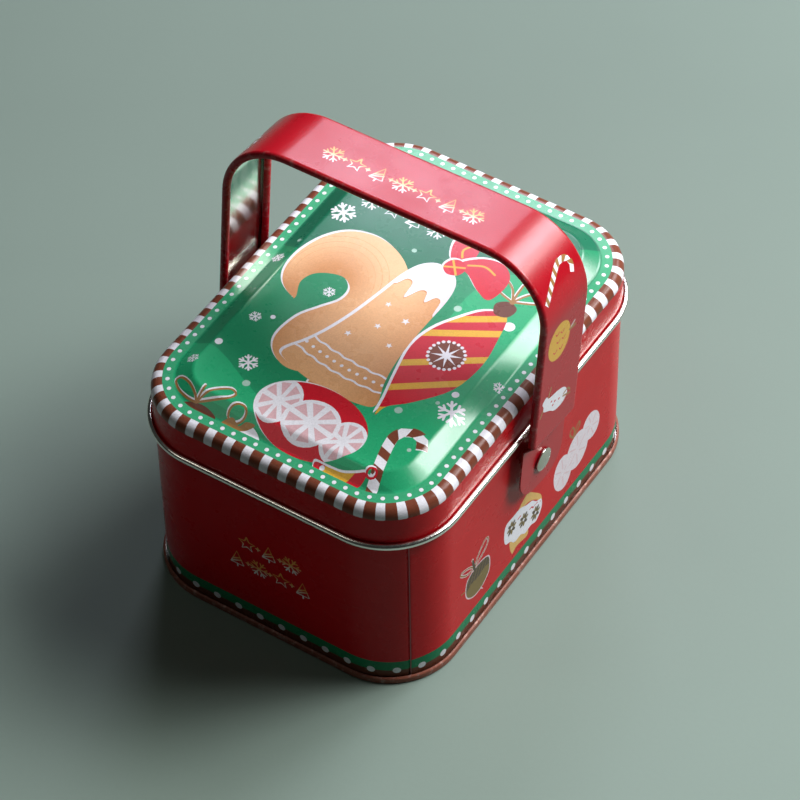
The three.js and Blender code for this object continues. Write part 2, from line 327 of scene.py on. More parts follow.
def ellipse(x, y, across, up=None, turn=0.0, steps=24, start=0.0, end=360.0):
    """An ellipse, or an arc of one, with half its width and height and a turn in degrees."""
    up = across if up is None else up
    cos, sin = math.cos(math.radians(turn)), math.sin(math.radians(turn))
    count = steps if end - start >= 360 else steps + 1
    points = []
    for i in range(count):
        angle = math.radians(start + (end - start) * i / steps)
        a, b = across * math.cos(angle), up * math.sin(angle)
        points.append((x + a * cos - b * sin, y + a * sin + b * cos))
    return points


def curve(points, closed=True, steps=5):
    """A smooth line through the points."""
    count = len(points)
    def near(i):
        return points[i % count] if closed else points[min(max(i, 0), count - 1)]
    made = []
    for i in range(count if closed else count - 1):
        corners = [near(i + k) for k in (-1, 0, 1, 2)]
        for k in range(steps):
            t = k / steps
            made.append(tuple(0.5 * (2 * b + (c - a) * t + (2 * a - 5 * b + 4 * c - d) * t * t
                                     + (3 * b - a - 3 * c + d) * t ** 3) for a, b, c, d in zip(*corners)))
    return made if closed else made + [points[-1]]


def moved(outline, dx, dy):
    return [(x + dx, y + dy) for x, y in outline]


class Trail:
    """A line that ribbons, canes and strokes follow, measured along its own length."""

    def __init__(self, points):
        self.points = points
        self.ways = [0.0]
        for a, b in zip(points, points[1:]):
            self.ways.append(self.ways[-1] + math.dist(a, b))
        self.length = self.ways[-1]

    def normal(self, i):
        a, b = self.points[max(i - 1, 0)], self.points[min(i + 1, len(self.points) - 1)]
        long = math.dist(a, b) or 1.0
        return -(b[1] - a[1]) / long, (b[0] - a[0]) / long

    def side(self, way, out):
        """The point beside the trail, out to its left."""
        way = min(max(way, 0.0), self.length)
        i = max(k for k, w in enumerate(self.ways[:-1]) if w <= way)
        share = (way - self.ways[i]) / max(self.ways[i + 1] - self.ways[i], 1e-9)
        (ax, ay), (bx, by) = self.points[i], self.points[i + 1]
        (nx, ny), (mx, my) = self.normal(i), self.normal(i + 1)
        return (ax + (bx - ax) * share + out * (nx + (mx - nx) * share),
                ay + (by - ay) * share + out * (ny + (my - ny) * share))

    def band(self, start, end, half, slant=0.0, steps=5):
        """The outline of the stretch from start to end, at half a width to each side. A slant moves its
        right side ahead."""
        ways = [start + (end - start) * i / steps for i in range(steps + 1)]
        lefts = [self.side(way, half) for way in ways]
        rights = [self.side(way + slant, -half) for way in ways]
        return lefts + rights[::-1]


class Artwork:
    """Layers of ink on a chart, later ones on top. A layer can be kept within an earlier one, which is
    given by its number."""

    def __init__(self):
        self.layers, self.shift, self.limit, self.within = [], (0.0, 0.0), None, None

    def fill(self, outline, ink, within=None):
        """Adds a layer and returns its number. Past the limit, an offset from the wall, outlines are
        brought in, each to a line of its own."""
        outline = moved(outline, *self.shift)
        if self.limit is not None:
            limit = self.limit - 0.02 * (len(self.layers) % 60)
            outline = [clamped(p, limit) for p in outline]
        self.layers.append((ccw(outline), ink, within or self.within))
        return len(self.layers)

    def stroke(self, points, width, ink, caps=True, within=None):
        """Draws a line in short pieces, with a round cap on each end."""
        trail = points if isinstance(points, Trail) else Trail(points)
        half = width / 2
        pieces = max(1, round(trail.length / (6 * width)))
        for i in range(pieces):
            ways = (trail.length * i / pieces, trail.length * (i + 1) / pieces)
            self.fill(trail.band(*ways, half), ink, within)
        if caps:
            for end in (trail.points[0], trail.points[-1]):
                self.fill(ellipse(*end, half * 0.98, steps=10), ink, within)


def clamped(point, limit):
    """A plan point, brought in to an offset from the wall if it lies beyond it."""
    offset, nx, ny = offset_of(*point)
    over = offset - limit
    return point if over <= 0 else (point[0] - over * nx, point[1] - over * ny)


def place(x, y, turn=0.0, size=1.0, flip=1):
    """A function that puts a motif's own points at x, y, turned and sized. flip=-1 mirrors it."""
    cos, sin = math.cos(math.radians(turn)), math.sin(math.radians(turn))
    def put(points):
        return [(x + size * (flip * a * cos - b * sin), y + size * (flip * a * sin + b * cos))
                for a, b in points]
    return put


def snowflake(art, put, radius, width, ink=WHITE):
    """A six-armed snowflake around the origin of put."""
    for arm in range(6):
        spoke = place(0, 0, 60 * arm, radius)
        art.stroke(put(spoke([(0, 0), (1, 0)])), width, ink)
        for side in (-1, 1):
            art.stroke(put(spoke([(0.5, 0), (0.82, 0.3 * side)])), 0.85 * width, ink)


def star(x, y, outer, inner, points, turn=90.0):
    corners = []
    for i in range(2 * points):
        radius, angle = inner if i % 2 else outer, math.radians(turn + 180 * i / points)
        corners.append((x + radius * math.cos(angle), y + radius * math.sin(angle)))
    return corners


def motif_row(art, put, kinds, pitch, height, ink):
    """A row of small line-drawn motifs: snowflakes, stars, trees and lozenges."""
    for i, kind in enumerate(kinds):
        spot = place((i - (len(kinds) - 1) / 2) * pitch, 0)
        line = 0.068 * height

        def draw(points, spot=spot):
            return put(spot(points))
        if kind == "snow":
            snowflake(art, draw, 0.46 * height, line, ink)
        elif kind == "star":
            points = star(0, 0, 0.4 * height, 0.17 * height, 5)
            art.stroke(draw(points + points[:1]), line, ink)
        elif kind == "tree":
            points = [(-0.3, -0.3), (0, 0.46), (0.3, -0.3), (-0.3, -0.3)]
            stripes = [(-0.2, -0.08), (0.1, 0.1)], [(-0.26, -0.24), (0.2, 0.0)]
            for part in (points, *stripes, [(0, -0.3), (0, -0.46)]):
                art.stroke(draw([(height * a, height * b) for a, b in part]), line, ink)
        else:
            art.fill(draw(star(0, 0, 0.15 * height, 0.07 * height, 4)), ink)


MOTIFS = ("snow", "dot", "star", "dot", "tree", "dot", "snow", "dot", "star", "dot", "tree", "dot", "snow")


def haloed(art, outline, ink, left, up):
    """Fills an outline over a white copy that shows on its upper left. Returns the outline's number."""
    art.fill(moved(outline, -left, up), WHITE)
    return art.fill(outline, ink)


def bow(art, put, wide):
    """A ribbon bow drawn as a line, with a thin pale line on its upper left."""
    lines = [curve([(0, 0), (-2.5, 3.2), (-6.4, 4.6), (-7.4, 2.6), (-4, 0.8), (0, 0)], False, 6),
             curve([(0, 0), (1.6, 3.8), (5.4, 7.2), (7.2, 6.4), (5.2, 3.2), (0, 0)], False, 6),
             curve([(0, 0), (-0.6, 2.4), (-1.0, 5.0)], False, 4)]
    for line in lines:
        art.stroke(moved(put(line), -0.4 * wide, 0.4 * wide), wide, WHITE)
    for line in lines:
        art.stroke(put(line), 0.9 * wide, KRAFT)
    art.fill(ellipse(*put([(0, 0)])[0], 1.1 * wide, steps=12), KRAFT)


def cane(art, points, width, stripe, pitch, slant, start=0.0):
    """A striped candy cane."""
    trail = Trail(points)
    art.stroke(trail, width, WHITE, caps=False)
    way = start
    while way + 0.2 * pitch < trail.length - slant:
        art.fill(trail.band(way, way + 0.48 * pitch, width / 2 + 0.02, slant, 3), stripe)
        way += pitch


def peppermint(art, x, y, across, up, turn, within):
    """A white disc with a pink star pattern of wedges."""
    base = art.fill(ellipse(x, y, across, up, turn, 30), WHITE, within)
    put = place(x, y, turn)
    for i in range(8):
        rays = [(share, math.radians(45 * i + lead)) for share, lead in ((0.24, 12), (0.86, -3), (0.86, 27))]
        wedge = [(share * across * math.cos(ray), share * up * math.sin(ray)) for share, ray in rays]
        art.fill(put(wedge), PINK, base)


# ---------------------------------------------------------------- charts
def inside(x, y, outline):
    """Whether a point lies in an outline, counting windings so that outlines may cross themselves."""
    turns = 0
    for (ax, ay), (bx, by) in zip(outline, outline[1:] + outline[:1]):
        if (ay > y) != (by > y):
            side = (bx - ax) * (y - ay) - (x - ax) * (by - ay)
            if by > ay and side > 0:
                turns += 1
            elif by < ay and side < 0:
                turns -= 1
    return turns != 0


class Cover:
    """Finds the outlines that cover a point."""
    CELL = 4.0

    def __init__(self, outlines):
        self.outlines, self.cells = outlines, {}
        for index, outline in enumerate(outlines):
            lows = [math.floor(min(p[i] for p in outline) / self.CELL) for i in (0, 1)]
            highs = [math.floor(max(p[i] for p in outline) / self.CELL) for i in (0, 1)]
            for i in range(lows[0], highs[0] + 1):
                for j in range(lows[1], highs[1] + 1):
                    self.cells.setdefault((i, j), []).append(index)

    def near(self, x, y):
        return self.cells.get((math.floor(x / self.CELL), math.floor(y / self.CELL)), [])

    def over(self, x, y, index):
        return inside(x, y, self.outlines[index])


def tessellate(domain, layers=(), guides=(), rings=(), holes=(), seeds=()):
    """Splits a flat region along every edge of the artwork. Returns triangles as three points and the
    index of the topmost layer, or None where no layer covers them."""
    points, edges = [], []

    def add(line, closed=False):
        first = len(points)
        points.extend(line)
        ids = list(range(first, len(points)))
        edges.extend(zip(ids, ids[1:] + (ids[:1] if closed else [])))
    for outline in [domain, *holes, *[layer[0] for layer in layers], *rings]:
        add(outline, True)
    for line in guides:
        add(line)
    points.extend(seeds)
    made = delaunay_2d_cdt([Vector(p) for p in points], edges, [], 0, 1e-4, True)
    places = [points[ids[0]] if ids else tuple(v) for v, ids in zip(made[0], made[3])]
    cover = Cover([layer[0] for layer in layers])
    region = Cover([domain, *holes])

    def shows(x, y, index):
        within = layers[index][2]
        return cover.over(x, y, index) and (within is None or shows(x, y, within - 1))
    found = []
    for triangle in made[2]:
        x, y = (sum(made[0][i][k] for i in triangle) / 3 for k in (0, 1))
        if [h for h in region.near(x, y) if region.over(x, y, h)] != [0]:
            continue
        top = next((index for index in reversed(cover.near(x, y)) if shows(x, y, index)), None)
        found.append(([places[i] for i in triangle], top))
    return found


def lay(sheet, triangles, mapping, layers, paper, slot=0, depth=0.0):
    """Lays a chart's triangles on the metal. Inks are colours or functions of the chart's point."""
    for corners, top in triangles:
        ink = paper if top is None else layers[top][1]
        inks = [ink(*p) if callable(ink) else ink for p in corners]
        sheet.face([mapping(*p, depth) for p in corners], inks, slot)


def border(triangles):
    """The edges of a chart that only one triangle has."""
    count = {}
    for corners, _ in triangles:
        for a, b in zip(corners, corners[1:] + corners[:1]):
            key = tuple(sorted((a, b)))
            count[key] = count.get(key, 0) + 1
    return [edge for edge, times in count.items() if times == 1]


# ---------------------------------------------------------------- swept sheet
def swept(way, row, depth=0.0):
    """Point and normal where a profile's row crosses a station round the tin."""
    x, y, nx, ny = station(way)
    across, height, out, up = sided(row, depth)
    return (x + across * nx, y + across * ny, height), (out * nx, out * ny, up)


def sweep(sheet, rows, ways, ink, slot, depth=0.0, wear=0.0, at=swept):
    """A strip of faces round the tin between a profile's rows. ways end where they begin."""
    columns = [[at(way, row, depth) for row in rows] for way in ways]
    for left, right in zip(columns, columns[1:]):
        for i in range(len(rows) - 1):
            sheet.plain([left[i], right[i], right[i + 1], left[i + 1]], ink, slot, wear)


def across_sheet(a, b):
    """The corners of a cut edge from a to b, each with its depth below the printed side."""
    return (a, 0.0), (b, 0.0), (b, SHEET), (a, SHEET)


def cut_edge(sheet, row, ways, ink, slot, end=1, at=swept):
    """The cut edge of the sheet at a profile's row, facing along the walk, or back with end=-1."""
    along, up = end * math.cos(row[2]), end * math.sin(row[2])
    for a, b in zip(ways, ways[1:]):
        ring = []
        for way, depth in across_sheet(a, b):
            _, _, nx, ny = station(way)
            ring.append((at(way, row, depth)[0], (along * nx, along * ny, up)))
        sheet.plain(ring, ink, slot)


# ---------------------------------------------------------------- materials
def material(name):
    made = bpy.data.materials.new(name)
    made.use_nodes = True
    tree = made.node_tree
    tree.nodes.clear()
    output = tree.nodes.new("ShaderNodeOutputMaterial")
    shader = tree.nodes.new("ShaderNodeBsdfPrincipled")
    tree.links.new(shader.outputs["BSDF"], output.inputs["Surface"])
    return made, tree, shader


def node(tree, kind, values=None, **settings):
    made = tree.nodes.new(kind)
    for name, value in settings.items():
        setattr(made, name, value)
    for name, value in (values or {}).items():
        if isinstance(value, bpy.types.NodeSocket):
            tree.links.new(value, made.inputs[name])
        else:
            made.inputs[name].default_value = value
    return made


def noise(tree, scale, detail=2.0, roughness=0.5, stretch=None):
    """Noise over the object's own metres."""
    place_at = node(tree, "ShaderNodeTexCoord").outputs["Object"]
    if stretch:
        place_at = node(tree, "ShaderNodeMapping", {"Vector": place_at, "Scale": stretch}).outputs[0]
    values = {"Vector": place_at, "Scale": scale, "Detail": detail, "Roughness": roughness}
    return node(tree, "ShaderNodeTexNoise", values).outputs["Fac"]


def ranged(tree, value, low, high, to_low, to_high):
    values = {"Value": value, "From Min": low, "From Max": high, "To Min": to_low, "To Max": to_high}
    return node(tree, "ShaderNodeMapRange", values).outputs[0]


def math_node(tree, operation, a, b):
    return node(tree, "ShaderNodeMath", {0: a, 1: b}, operation=operation).outputs[0]


def bumped(tree, shader, layers):
    """Chains bump layers, (height socket, distance in metres, strength), onto a shader."""
    normal = None
    for height, distance, strength in layers:
        values = {"Height": height, "Distance": distance, "Strength": strength}
        if normal:
            values["Normal"] = normal
        normal = node(tree, "ShaderNodeBump", values).outputs[0]
    tree.links.new(normal, shader.inputs["Normal"])
    return normal


def printed_tinplate(name, rough=0.27, shine=0.12):
    """Varnished print: ink with a fine grain, gold foil where the artwork says, and a little wear."""
    made, tree, shader = material(name)
    link = tree.links.new
    ink = node(tree, "ShaderNodeAttribute", attribute_name="ink")
    wear = node(tree, "ShaderNodeAttribute", attribute_name="wear").outputs["Fac"]
    cloud = ranged(tree, noise(tree, 60, 3), 0.3, 0.7, 0.955, 1.045)
    grain = ranged(tree, noise(tree, 3200, 1), 0.3, 0.7, 0.93, 1.07)
    tone = math_node(tree, "MULTIPLY", cloud, grain)
    toned = node(tree, "ShaderNodeVectorMath", {0: ink.outputs["Color"], "Scale": tone}, operation="SCALE")
    rubbed = ranged(tree, noise(tree, 700, 4, 0.65), 0.52, 0.66, 0.0, 1.0)
    worn = math_node(tree, "MULTIPLY", rubbed, wear)
    layers = {0: worn, 6: toned.outputs[0], 7: (0.62, 0.58, 0.54, 1.0)}
    metal = node(tree, "ShaderNodeMix", layers, data_type="RGBA")
    link(metal.outputs[2], shader.inputs["Base Color"])
    link(math_node(tree, "MAXIMUM", ink.outputs["Alpha"], worn), shader.inputs["Metallic"])
    smear = noise(tree, 90, 4, 0.6)
    link(ranged(tree, smear, 0.3, 0.7, rough - 0.04, rough + 0.05), shader.inputs["Roughness"])
    shader.inputs["Coat Weight"].default_value = 0.2 * shine
    shader.inputs["Coat Roughness"].default_value = 0.1
    shader.inputs["Specular IOR Level"].default_value = shine
    shader.inputs["Coat IOR"].default_value = 1.5
    shader.inputs["IOR"].default_value = 1.5
    normal = bumped(tree, shader, [(noise(tree, 30, 1), 0.0003, 0.12), (noise(tree, 600, 1), 0.00001, 0.06)])
    link(normal, shader.inputs["Coat Normal"])
    return made


def bare_tin(name, tint=(0.80, 0.77, 0.72), rough=0.22, stretch=(1, 1, 1)):
    """Bright tinplate with faint crystals, rolling streaks and handling marks."""
    made, tree, shader = material(name)
    link = tree.links.new
    crystals = node(tree, "ShaderNodeTexVoronoi", {
        "Vector": node(tree, "ShaderNodeTexCoord").outputs["Object"], "Scale": 420.0})
    cell = node(tree, "ShaderNodeSeparateColor", {"Color": crystals.outputs["Color"]}).outputs[0]
    streak = noise(tree, 900, 3, 0.6, stretch)
    tone = math_node(tree, "MULTIPLY", ranged(tree, cell, 0, 1, 0.96, 1.02),
                     ranged(tree, streak, 0.3, 0.7, 0.94, 1.04))
    toned = node(tree, "ShaderNodeVectorMath", {0: tint, "Scale": tone}, operation="SCALE")
    link(toned.outputs[0], shader.inputs["Base Color"])
    shader.inputs["Metallic"].default_value = 1.0
    link(ranged(tree, streak, 0.3, 0.7, rough - 0.03, rough + 0.04), shader.inputs["Roughness"])
    bumped(tree, shader, [(noise(tree, 45, 2), 0.0004, 0.08), (streak, 0.00002, 0.01)])
    return made


def studio_floor(name):
    """Smooth pale sage board, with painted light falloff: its colour is graded so that it is lighter towards
    the camera.
    """
    made, tree, shader = material(name)
    tone = ranged(tree, noise(tree, 7, 4, 0.55), 0.3, 0.7, 0.97, 1.03)
    speck = ranged(tree, noise(tree, 900, 2), 0.3, 0.7, 0.985, 1.015)
    place_at = node(tree, "ShaderNodeTexCoord").outputs["Object"]
    # Painted light falloff: the board's colour is darkened away from the camera and lightened towards it.
    nearer = node(tree, "ShaderNodeVectorMath", {0: place_at, 1: (0.55, -0.83, 0.0)}, operation="DOT_PRODUCT")
    painted_falloff = ranged(tree, nearer.outputs["Value"], -0.13, 0.13, 0.87, 1.1)
    tone_and_painted_falloff = math_node(tree, "MULTIPLY", math_node(tree, "MULTIPLY", tone, speck), painted_falloff)
    sage = srgb(126, 144, 134)[:3]
    toned = node(tree, "ShaderNodeVectorMath", {0: sage, "Scale": tone_and_painted_falloff}, operation="SCALE")
    tree.links.new(toned.outputs[0], shader.inputs["Base Color"])
    tree.links.new(ranged(tree, speck, 0.98, 1.02, 0.6, 0.72), shader.inputs["Roughness"])
    shader.inputs["Specular IOR Level"].default_value = 0.3
    bumped(tree, shader, [(noise(tree, 1500, 2), 0.00002, 0.4)])
    return made


PRINT = printed_tinplate("printed_tinplate")
LID_PRINT = printed_tinplate("printed_lid_tinplate", shine=0.34)
STRAP_PRINT = printed_tinplate("printed_strap_tinplate", shine=0.28)
BEAD_PRINT = printed_tinplate("copper_varnish", rough=0.34)
TIN = bare_tin("bare_tinplate", stretch=(1, 1, 0.15))
STRAP_TIN = bare_tin("bare_strap_tinplate", rough=0.16, stretch=(1, 1, 0.12))
RIVET_TIN = bare_tin("rivet_steel", tint=(0.6, 0.56, 0.5), rough=0.2)


# ---------------------------------------------------------------- lid
def lid_profile():
    """From the raised panel down the bevel, over the gently falling rim and its rounded edge, and down the
    skirt to the curl, which rolls outwards and shows the bare side."""
    edge = SKIRT - RIM_ROUND
    fall = math.tan(math.radians(RIM_FALL)) * (edge - BEVEL_FOOT)
    slope = math.degrees(math.atan2(PANEL_RISE - fall, BEVEL_RUN))
    head_round, foot_round = 1.9, 1.5
    head = math.tan(math.radians(slope / 2)) * head_round
    foot = math.tan(math.radians((slope - RIM_FALL) / 2)) * foot_round
    profile = Profile(BEVEL_HEAD - head - 1.0, LID_HIGH.z, 0).forward(1.0)
    profile.turn(-slope, head_round, 5)
    profile.forward(math.hypot(PANEL_RISE - fall, BEVEL_RUN) - head - foot, 2)
    profile.turn(slope - RIM_FALL, foot_round, 4)
    profile.forward((edge - profile.rows[-1][0]) / math.cos(math.radians(RIM_FALL)), 2)
    profile.brim = len(profile.rows) - 1
    profile.turn(-90 + RIM_FALL, RIM_ROUND, 10)
    profile.stripe_end = profile.rows[-1][3] + profile.rows[-1][1] - STRIPE_END_Z
    curl = 0.48
    flare, flare_round, flare_top = 2.5, 8.0, 51.2
    profile.forward(profile.rows[-1][1] - flare_top, 2)
    profile.turn(flare, flare_round, 3)
    profile.forward(profile.rows[-1][1] - LID_CURL_Z, 2)
    profile.curl = len(profile.rows) - 1
    profile.turn(285 - flare, curl, 22)
    return profile


LID_PROFILE = lid_profile()


def lid_plan(x, y, depth=0.0):
    """Point and normal of the lid's top at a plan point. The panel is very slightly crowned."""
    offset, nx, ny = offset_of(x, y)
    first = LID_PROFILE.rows[0]
    row = LID_PROFILE.at(offset, key=0) if offset > first[0] else (offset, first[1], 0.0, 0.0)
    across, height, out, up = sided(row, depth)
    shift = across - offset
    crown = min(max((BEVEL_HEAD - offset) / 3, 0.0), 1.0) * PANEL_CROWN * up
    return (x + shift * nx, y + shift * ny, height), (out * nx + crown * x, out * ny + crown * y, up)


def bell(art, put):
    """A large tan bell with an iced crown."""
    side = [(0.0, 1.0), (2.6, 0.4), (4.9, -2.2), (6.2, -7.0), (6.8, -14.0), (7.6, -22.0),
            (8.9, -29.0), (10.6, -34.5), (12.6, -38.6), (12.9, -40.6), (11.4, -41.8)]
    left = [(-x, y) for x, y in side[:0:-1]]
    outline = put(curve(side + [(6.0, -43.0), (0.0, -43.5), (-6.0, -43.0)] + left, True, 4))

    def shade(x, y):
        low = mixed(TAN_LIGHT, TAN, (8.0 - y) / 14)
        return mixed(low, TAN_DARK, (x - 1.0 + 0.1 * y) / 11)
    clapper = put(ellipse(0.5, -43.2, 3.4, 3.0, steps=26))
    haloed(art, clapper, TAN_DARK, 0.5, 0.1)
    base = haloed(art, outline, shade, 0.75, 0.25)
    for depth, drop in ((-32.4, 1.1), (-37.0, 1.3)):
        wave = [(x, depth + drop * (x / 12) ** 2 - 1.2 + 0.22 * math.sin(1.7 * x)) for x in range(-14, 15)]
        art.stroke(put(wave), 0.5, WHITE, within=base)
    for i in range(-5, 6):
        art.fill(put(ellipse(2.1 * i, -35.9 + 1.2 * (2.1 * i / 12) ** 2, 0.42, steps=10)), WHITE, base)
    cap = [(-9, 3), (-9, -6.2), (-6.4, -9.6), (-5.0, -6.8), (-3.2, -7.2), (-2.1, -11.8), (-0.6, -8.0),
           (1.0, -7.4), (2.4, -10.2), (3.6, -7.6), (5.2, -8.0), (6.6, -12.6), (9, -7.0), (9, 3)]
    icing = put(curve(cap, True, 4))
    art.fill(moved(icing, 0.0, -0.4), TAN_DARK, base)
    art.fill(icing, lambda x, y: mixed(WHITE, PINK, 0.35 + (x - 8) / 12), base)
    for x, y, size in ((-3.4, -15.5, 0.55), (2.8, -17.2, 0.7), (-1.2, -22.0, 0.6), (4.4, -25.0, 0.55),
                       (-5.0, -27.6, 0.6)):
        art.fill(put(star(x, y, 1.5 * size, 0.6 * size, 5)), WHITE, base)


def scroll(art):
    """A broad tan ribbon that curls round to a tapered point."""
    outline = curve([(-20.2, -7.4), (-24.6, -5.4), (-27.0, -1.2), (-27.2, 5.0), (-25.0, 11.6),
                     (-20.8, 16.2), (-14.6, 17.9), (-8.6, 16.4), (-3.6, 12.8), (-0.2, 7.4), (-1.6, 0.6),
                     (-3.6, -4.4), (-6.0, -9.4), (-8.0, -14.4), (-8.0, -18.6), (-6.0, -24.0),
                     (-9.7, -25.6), (-13.6, -24.5), (-16.6, -21.6), (-17.6, -17.6), (-16.6, -11.6),
                     (-13.8, -6.8), (-11.2, -2.6), (-11.4, 1.2), (-14.4, 3.4), (-18.2, 2.6), (-21.0, 0.4),
                     (-21.8, -3.0)], True, 5)
    outline[0] = (-20.2, -7.8)

    def shade(x, y):
        around = math.hypot(x + 16.0, y - 1.0)
        upper = mixed(TAN_DARK, TAN_LIGHT, (around - 3.6) / 8.5)
        lower = mixed(TAN_DARK, TAN, (x + 19.0) / 9.0)
        return mixed(upper, lower, (1.0 - y) / 7.0)
    base = haloed(art, outline, shade, 0.6, 0.25)
    for i in range(5):
        ring = ellipse(-16.0, 1.0, 6.4 + 1.5 * i, 7.4 + 1.7 * i, 8, 40, 20 - 9 * i, 150 + 14 * i)
        art.stroke(ring, 0.16, mixed(TAN, TAN_DARK, 0.35), caps=False, within=base)


def striped_drop(art):
    """A crimson drop with yellow diagonal stripes, hanging from a cap and a bow."""
    outline = curve([(17.6, 11.4), (22.4, 12.4), (24.4, 5.0), (25.4, -3.0), (23.8, -12.0), (18.4, -19.6),
                     (14.3, -23.6), (13.4, -26.9), (12.5, -22.0), (10.6, -14.0), (9.2, -6.0), (10.4, 0.6),
                     (13.6, 6.4)], True, 4)

    def shade(x, y):
        return mixed(DEEP_RED, srgb(196, 44, 62), (y + 14) / 24)
    base = haloed(art, outline, shade, 0.7, 0.25)
    for low, high in (((14.3, 6.4), (21.6, 11.0)), ((10.3, -0.8), (23.3, 6.8)), ((9.5, -11.7), (25.1, -1.1)),
                      ((11.9, -18.5), (24.9, -9.2)), ((11.9, -26.4), (24.9, -17.6))):
        rise = (high[1] - low[1]) / (high[0] - low[0])
        band = [(5, low[1] + rise * (5 - low[0])), (30, high[1] + rise * (30 - high[0]))]
        art.fill(moved(band, 0, -1.1) + moved(band, 0, 1.1)[::-1], YELLOW, base)
    art.fill(ellipse(17.3, -4.4, 4.2, steps=32), BROWN)
    art.fill(star(17.3, -4.4, 3.6, 0.9, 8, 20), WHITE)
    for i in range(22):
        angle = 2 * math.pi * i / 22
        art.fill(ellipse(17.3 + 4.1 * math.cos(angle), -4.4 + 4.1 * math.sin(angle), 0.42, steps=8), WHITE)
    art.fill(curve([(18.2, 14.4), (20.6, 16.4), (23.2, 15.2), (22.6, 12.2), (19.6, 11.6)], True, 4), COCOA)
    bow(art, place(21.2, 16.6, -6, 1.1), 0.6)


def crown_bow(art):
    """The red bow with white trim on top of the bell."""
    right = curve([(5.0, 20.5), (9.0, 24.6), (14.0, 25.2), (17.4, 21.4), (16.6, 14.6), (13.0, 15.4),
                   (8.8, 18.4)], True, 5)
    left = curve([(3.0, 20.5), (0.6, 25.6), (2.6, 28.0), (6.4, 27.0), (6.8, 22.6)], True, 5)

    def shade(x, y):
        return mixed(DEEP_RED, srgb(200, 52, 70), (y - 15) / 12)
    for loop in (left, right):
        haloed(art, loop, shade, 0.6, 0.3)
    art.stroke(curve([(7.0, 21.0), (10.4, 22.6), (13.6, 21.6)], False, 4), 0.5, YELLOW)
    art.stroke(curve([(4.6, 22.4), (3.6, 24.4), (4.4, 26.0)], False, 4), 0.5, YELLOW)


def three_disc_bauble(art):
    """A crimson bauble with three peppermint discs, below the bell."""
    outline = ellipse(2.6, -35.2, 13.4, 9.2, -3, 60)

    def shade(x, y):
        return mixed(DEEP_RED, srgb(200, 30, 44), (y + 46) / 20)
    base = haloed(art, outline, shade, 0.5, 0.1)
    peppermint(art, -6.2, -34.4, 4.9, 6.5, 6, base)
    peppermint(art, 11.8, -36.9, 4.7, 5.9, -6, base)
    peppermint(art, 3.0, -36.0, 6.6, 6.3, 0, base)


def rim_artwork(art, ways):
    """The stripes and the dotted band round the lid, and the ground that the picture is kept within."""
    for start in STRIPE_STARTS:
        ends = (start, start + STRIPE_WHITE)
        art.fill(outline_at(BAND_OUTSIDE, ends) + outline_at(0.0, ends[::-1]), WHITE)
    art.fill(outline_at(BAND_OUTSIDE, ways[:-1]), BAND_GREEN)
    middle = Trail(outline_at(BAND_MIDDLE, [0.0, *corner_stations(), PERIMETER]))
    for i in range(RIM_DOTS):
        dot = middle.side(middle.length * (i + 0.5) / RIM_DOTS, 0.0)
        art.fill(ellipse(*dot, RIM_DOT, steps=12), WHITE)
    art.within = art.fill(outline_at(BAND_INSIDE, corner_stations(28)), GREEN_DARK)


def hills(art):
    """The swells of lighter green behind the ornaments."""
    mid = curve([(-40, 5), (-30, 6), (-22, 3.4), (-12, 5), (-2, 9), (8, 20), (16, 28), (24, 36), (30, 44),
                 (40, 50), (44, 0), (40, -60), (-40, -60), (-44, -20)], True, 6)
    bright = curve([(-44, -31), (-30, -28.6), (-24, -29.6), (-16, -33.4), (-8, -36), (4, -34), (11, -20),
                    (12, 0), (12, 14), (16, 23), (22, 25.4), (28, 20.4), (34, 22), (42, 26), (44, 0),
                    (40, -60), (-40, -60)], True, 6)
    low = curve([(-44, -43), (-20, -41.6), (0, -43), (20, -41.6), (44, -43), (40, -60), (-40, -60)], True, 6)
    art.fill(mid, GREEN_MID)
    art.fill(bright, GREEN_BRIGHT)
    art.fill(low, mixed(GREEN_MID, GREEN_BRIGHT, 0.4))


def snowfall(art):
    """Loose snowflakes and dots."""
    for x, y, radius, turn in ((-25.5, 20.2, 2.9, 8), (-14.7, -2.0, 1.4, 0), (-24.4, -16.7, 1.4, 10),
                               (-18.0, -28.8, 2.2, 4), (-29.3, -33.6, 1.3, 0), (27.0, -17.8, 3.1, 0),
                               (-31.0, 2.0, 1.4, 12), (31.0, -4.8, 1.3, 0)):
        snowflake(art, place(x, y, turn), radius, 0.2 * radius)
    faint = mixed(GREEN_BRIGHT, WHITE, 0.45)
    for x, y, radius, ink in ((-27, -27, 0.9, WHITE), (-21, -14.8, 0.6, WHITE), (-15, -34, 0.9, faint),
                              (17, -23.2, 0.9, faint), (25, -13, 0.85, WHITE), (23, -17, 0.5, faint),
                              (12, 8.7, 0.9, faint), (-29.5, 8.3, 0.5, faint), (25, -31.5, 0.5, faint),
                              (-5.6, 18.6, 0.6, faint), (24.4, 10, 1.35, WHITE)):
        art.fill(ellipse(x, y, radius, steps=18), ink)


def bow_knot(art):
    """The knot of the crown's bow, over the top of the bell."""
    knot = curve([(2.4, 18.0), (3.0, 20.6), (5.2, 21.4), (7.2, 19.6), (6.6, 17.2), (4.2, 16.4)], True, 5)
    base = haloed(art, knot, DEEP_RED, 0.5, 0.3)
    for line in ([(2.6, 18.0), (7.4, 20.2)], [(3.4, 20.6), (6.6, 16.6)]):
        art.stroke(line, 0.5, YELLOW, within=base)


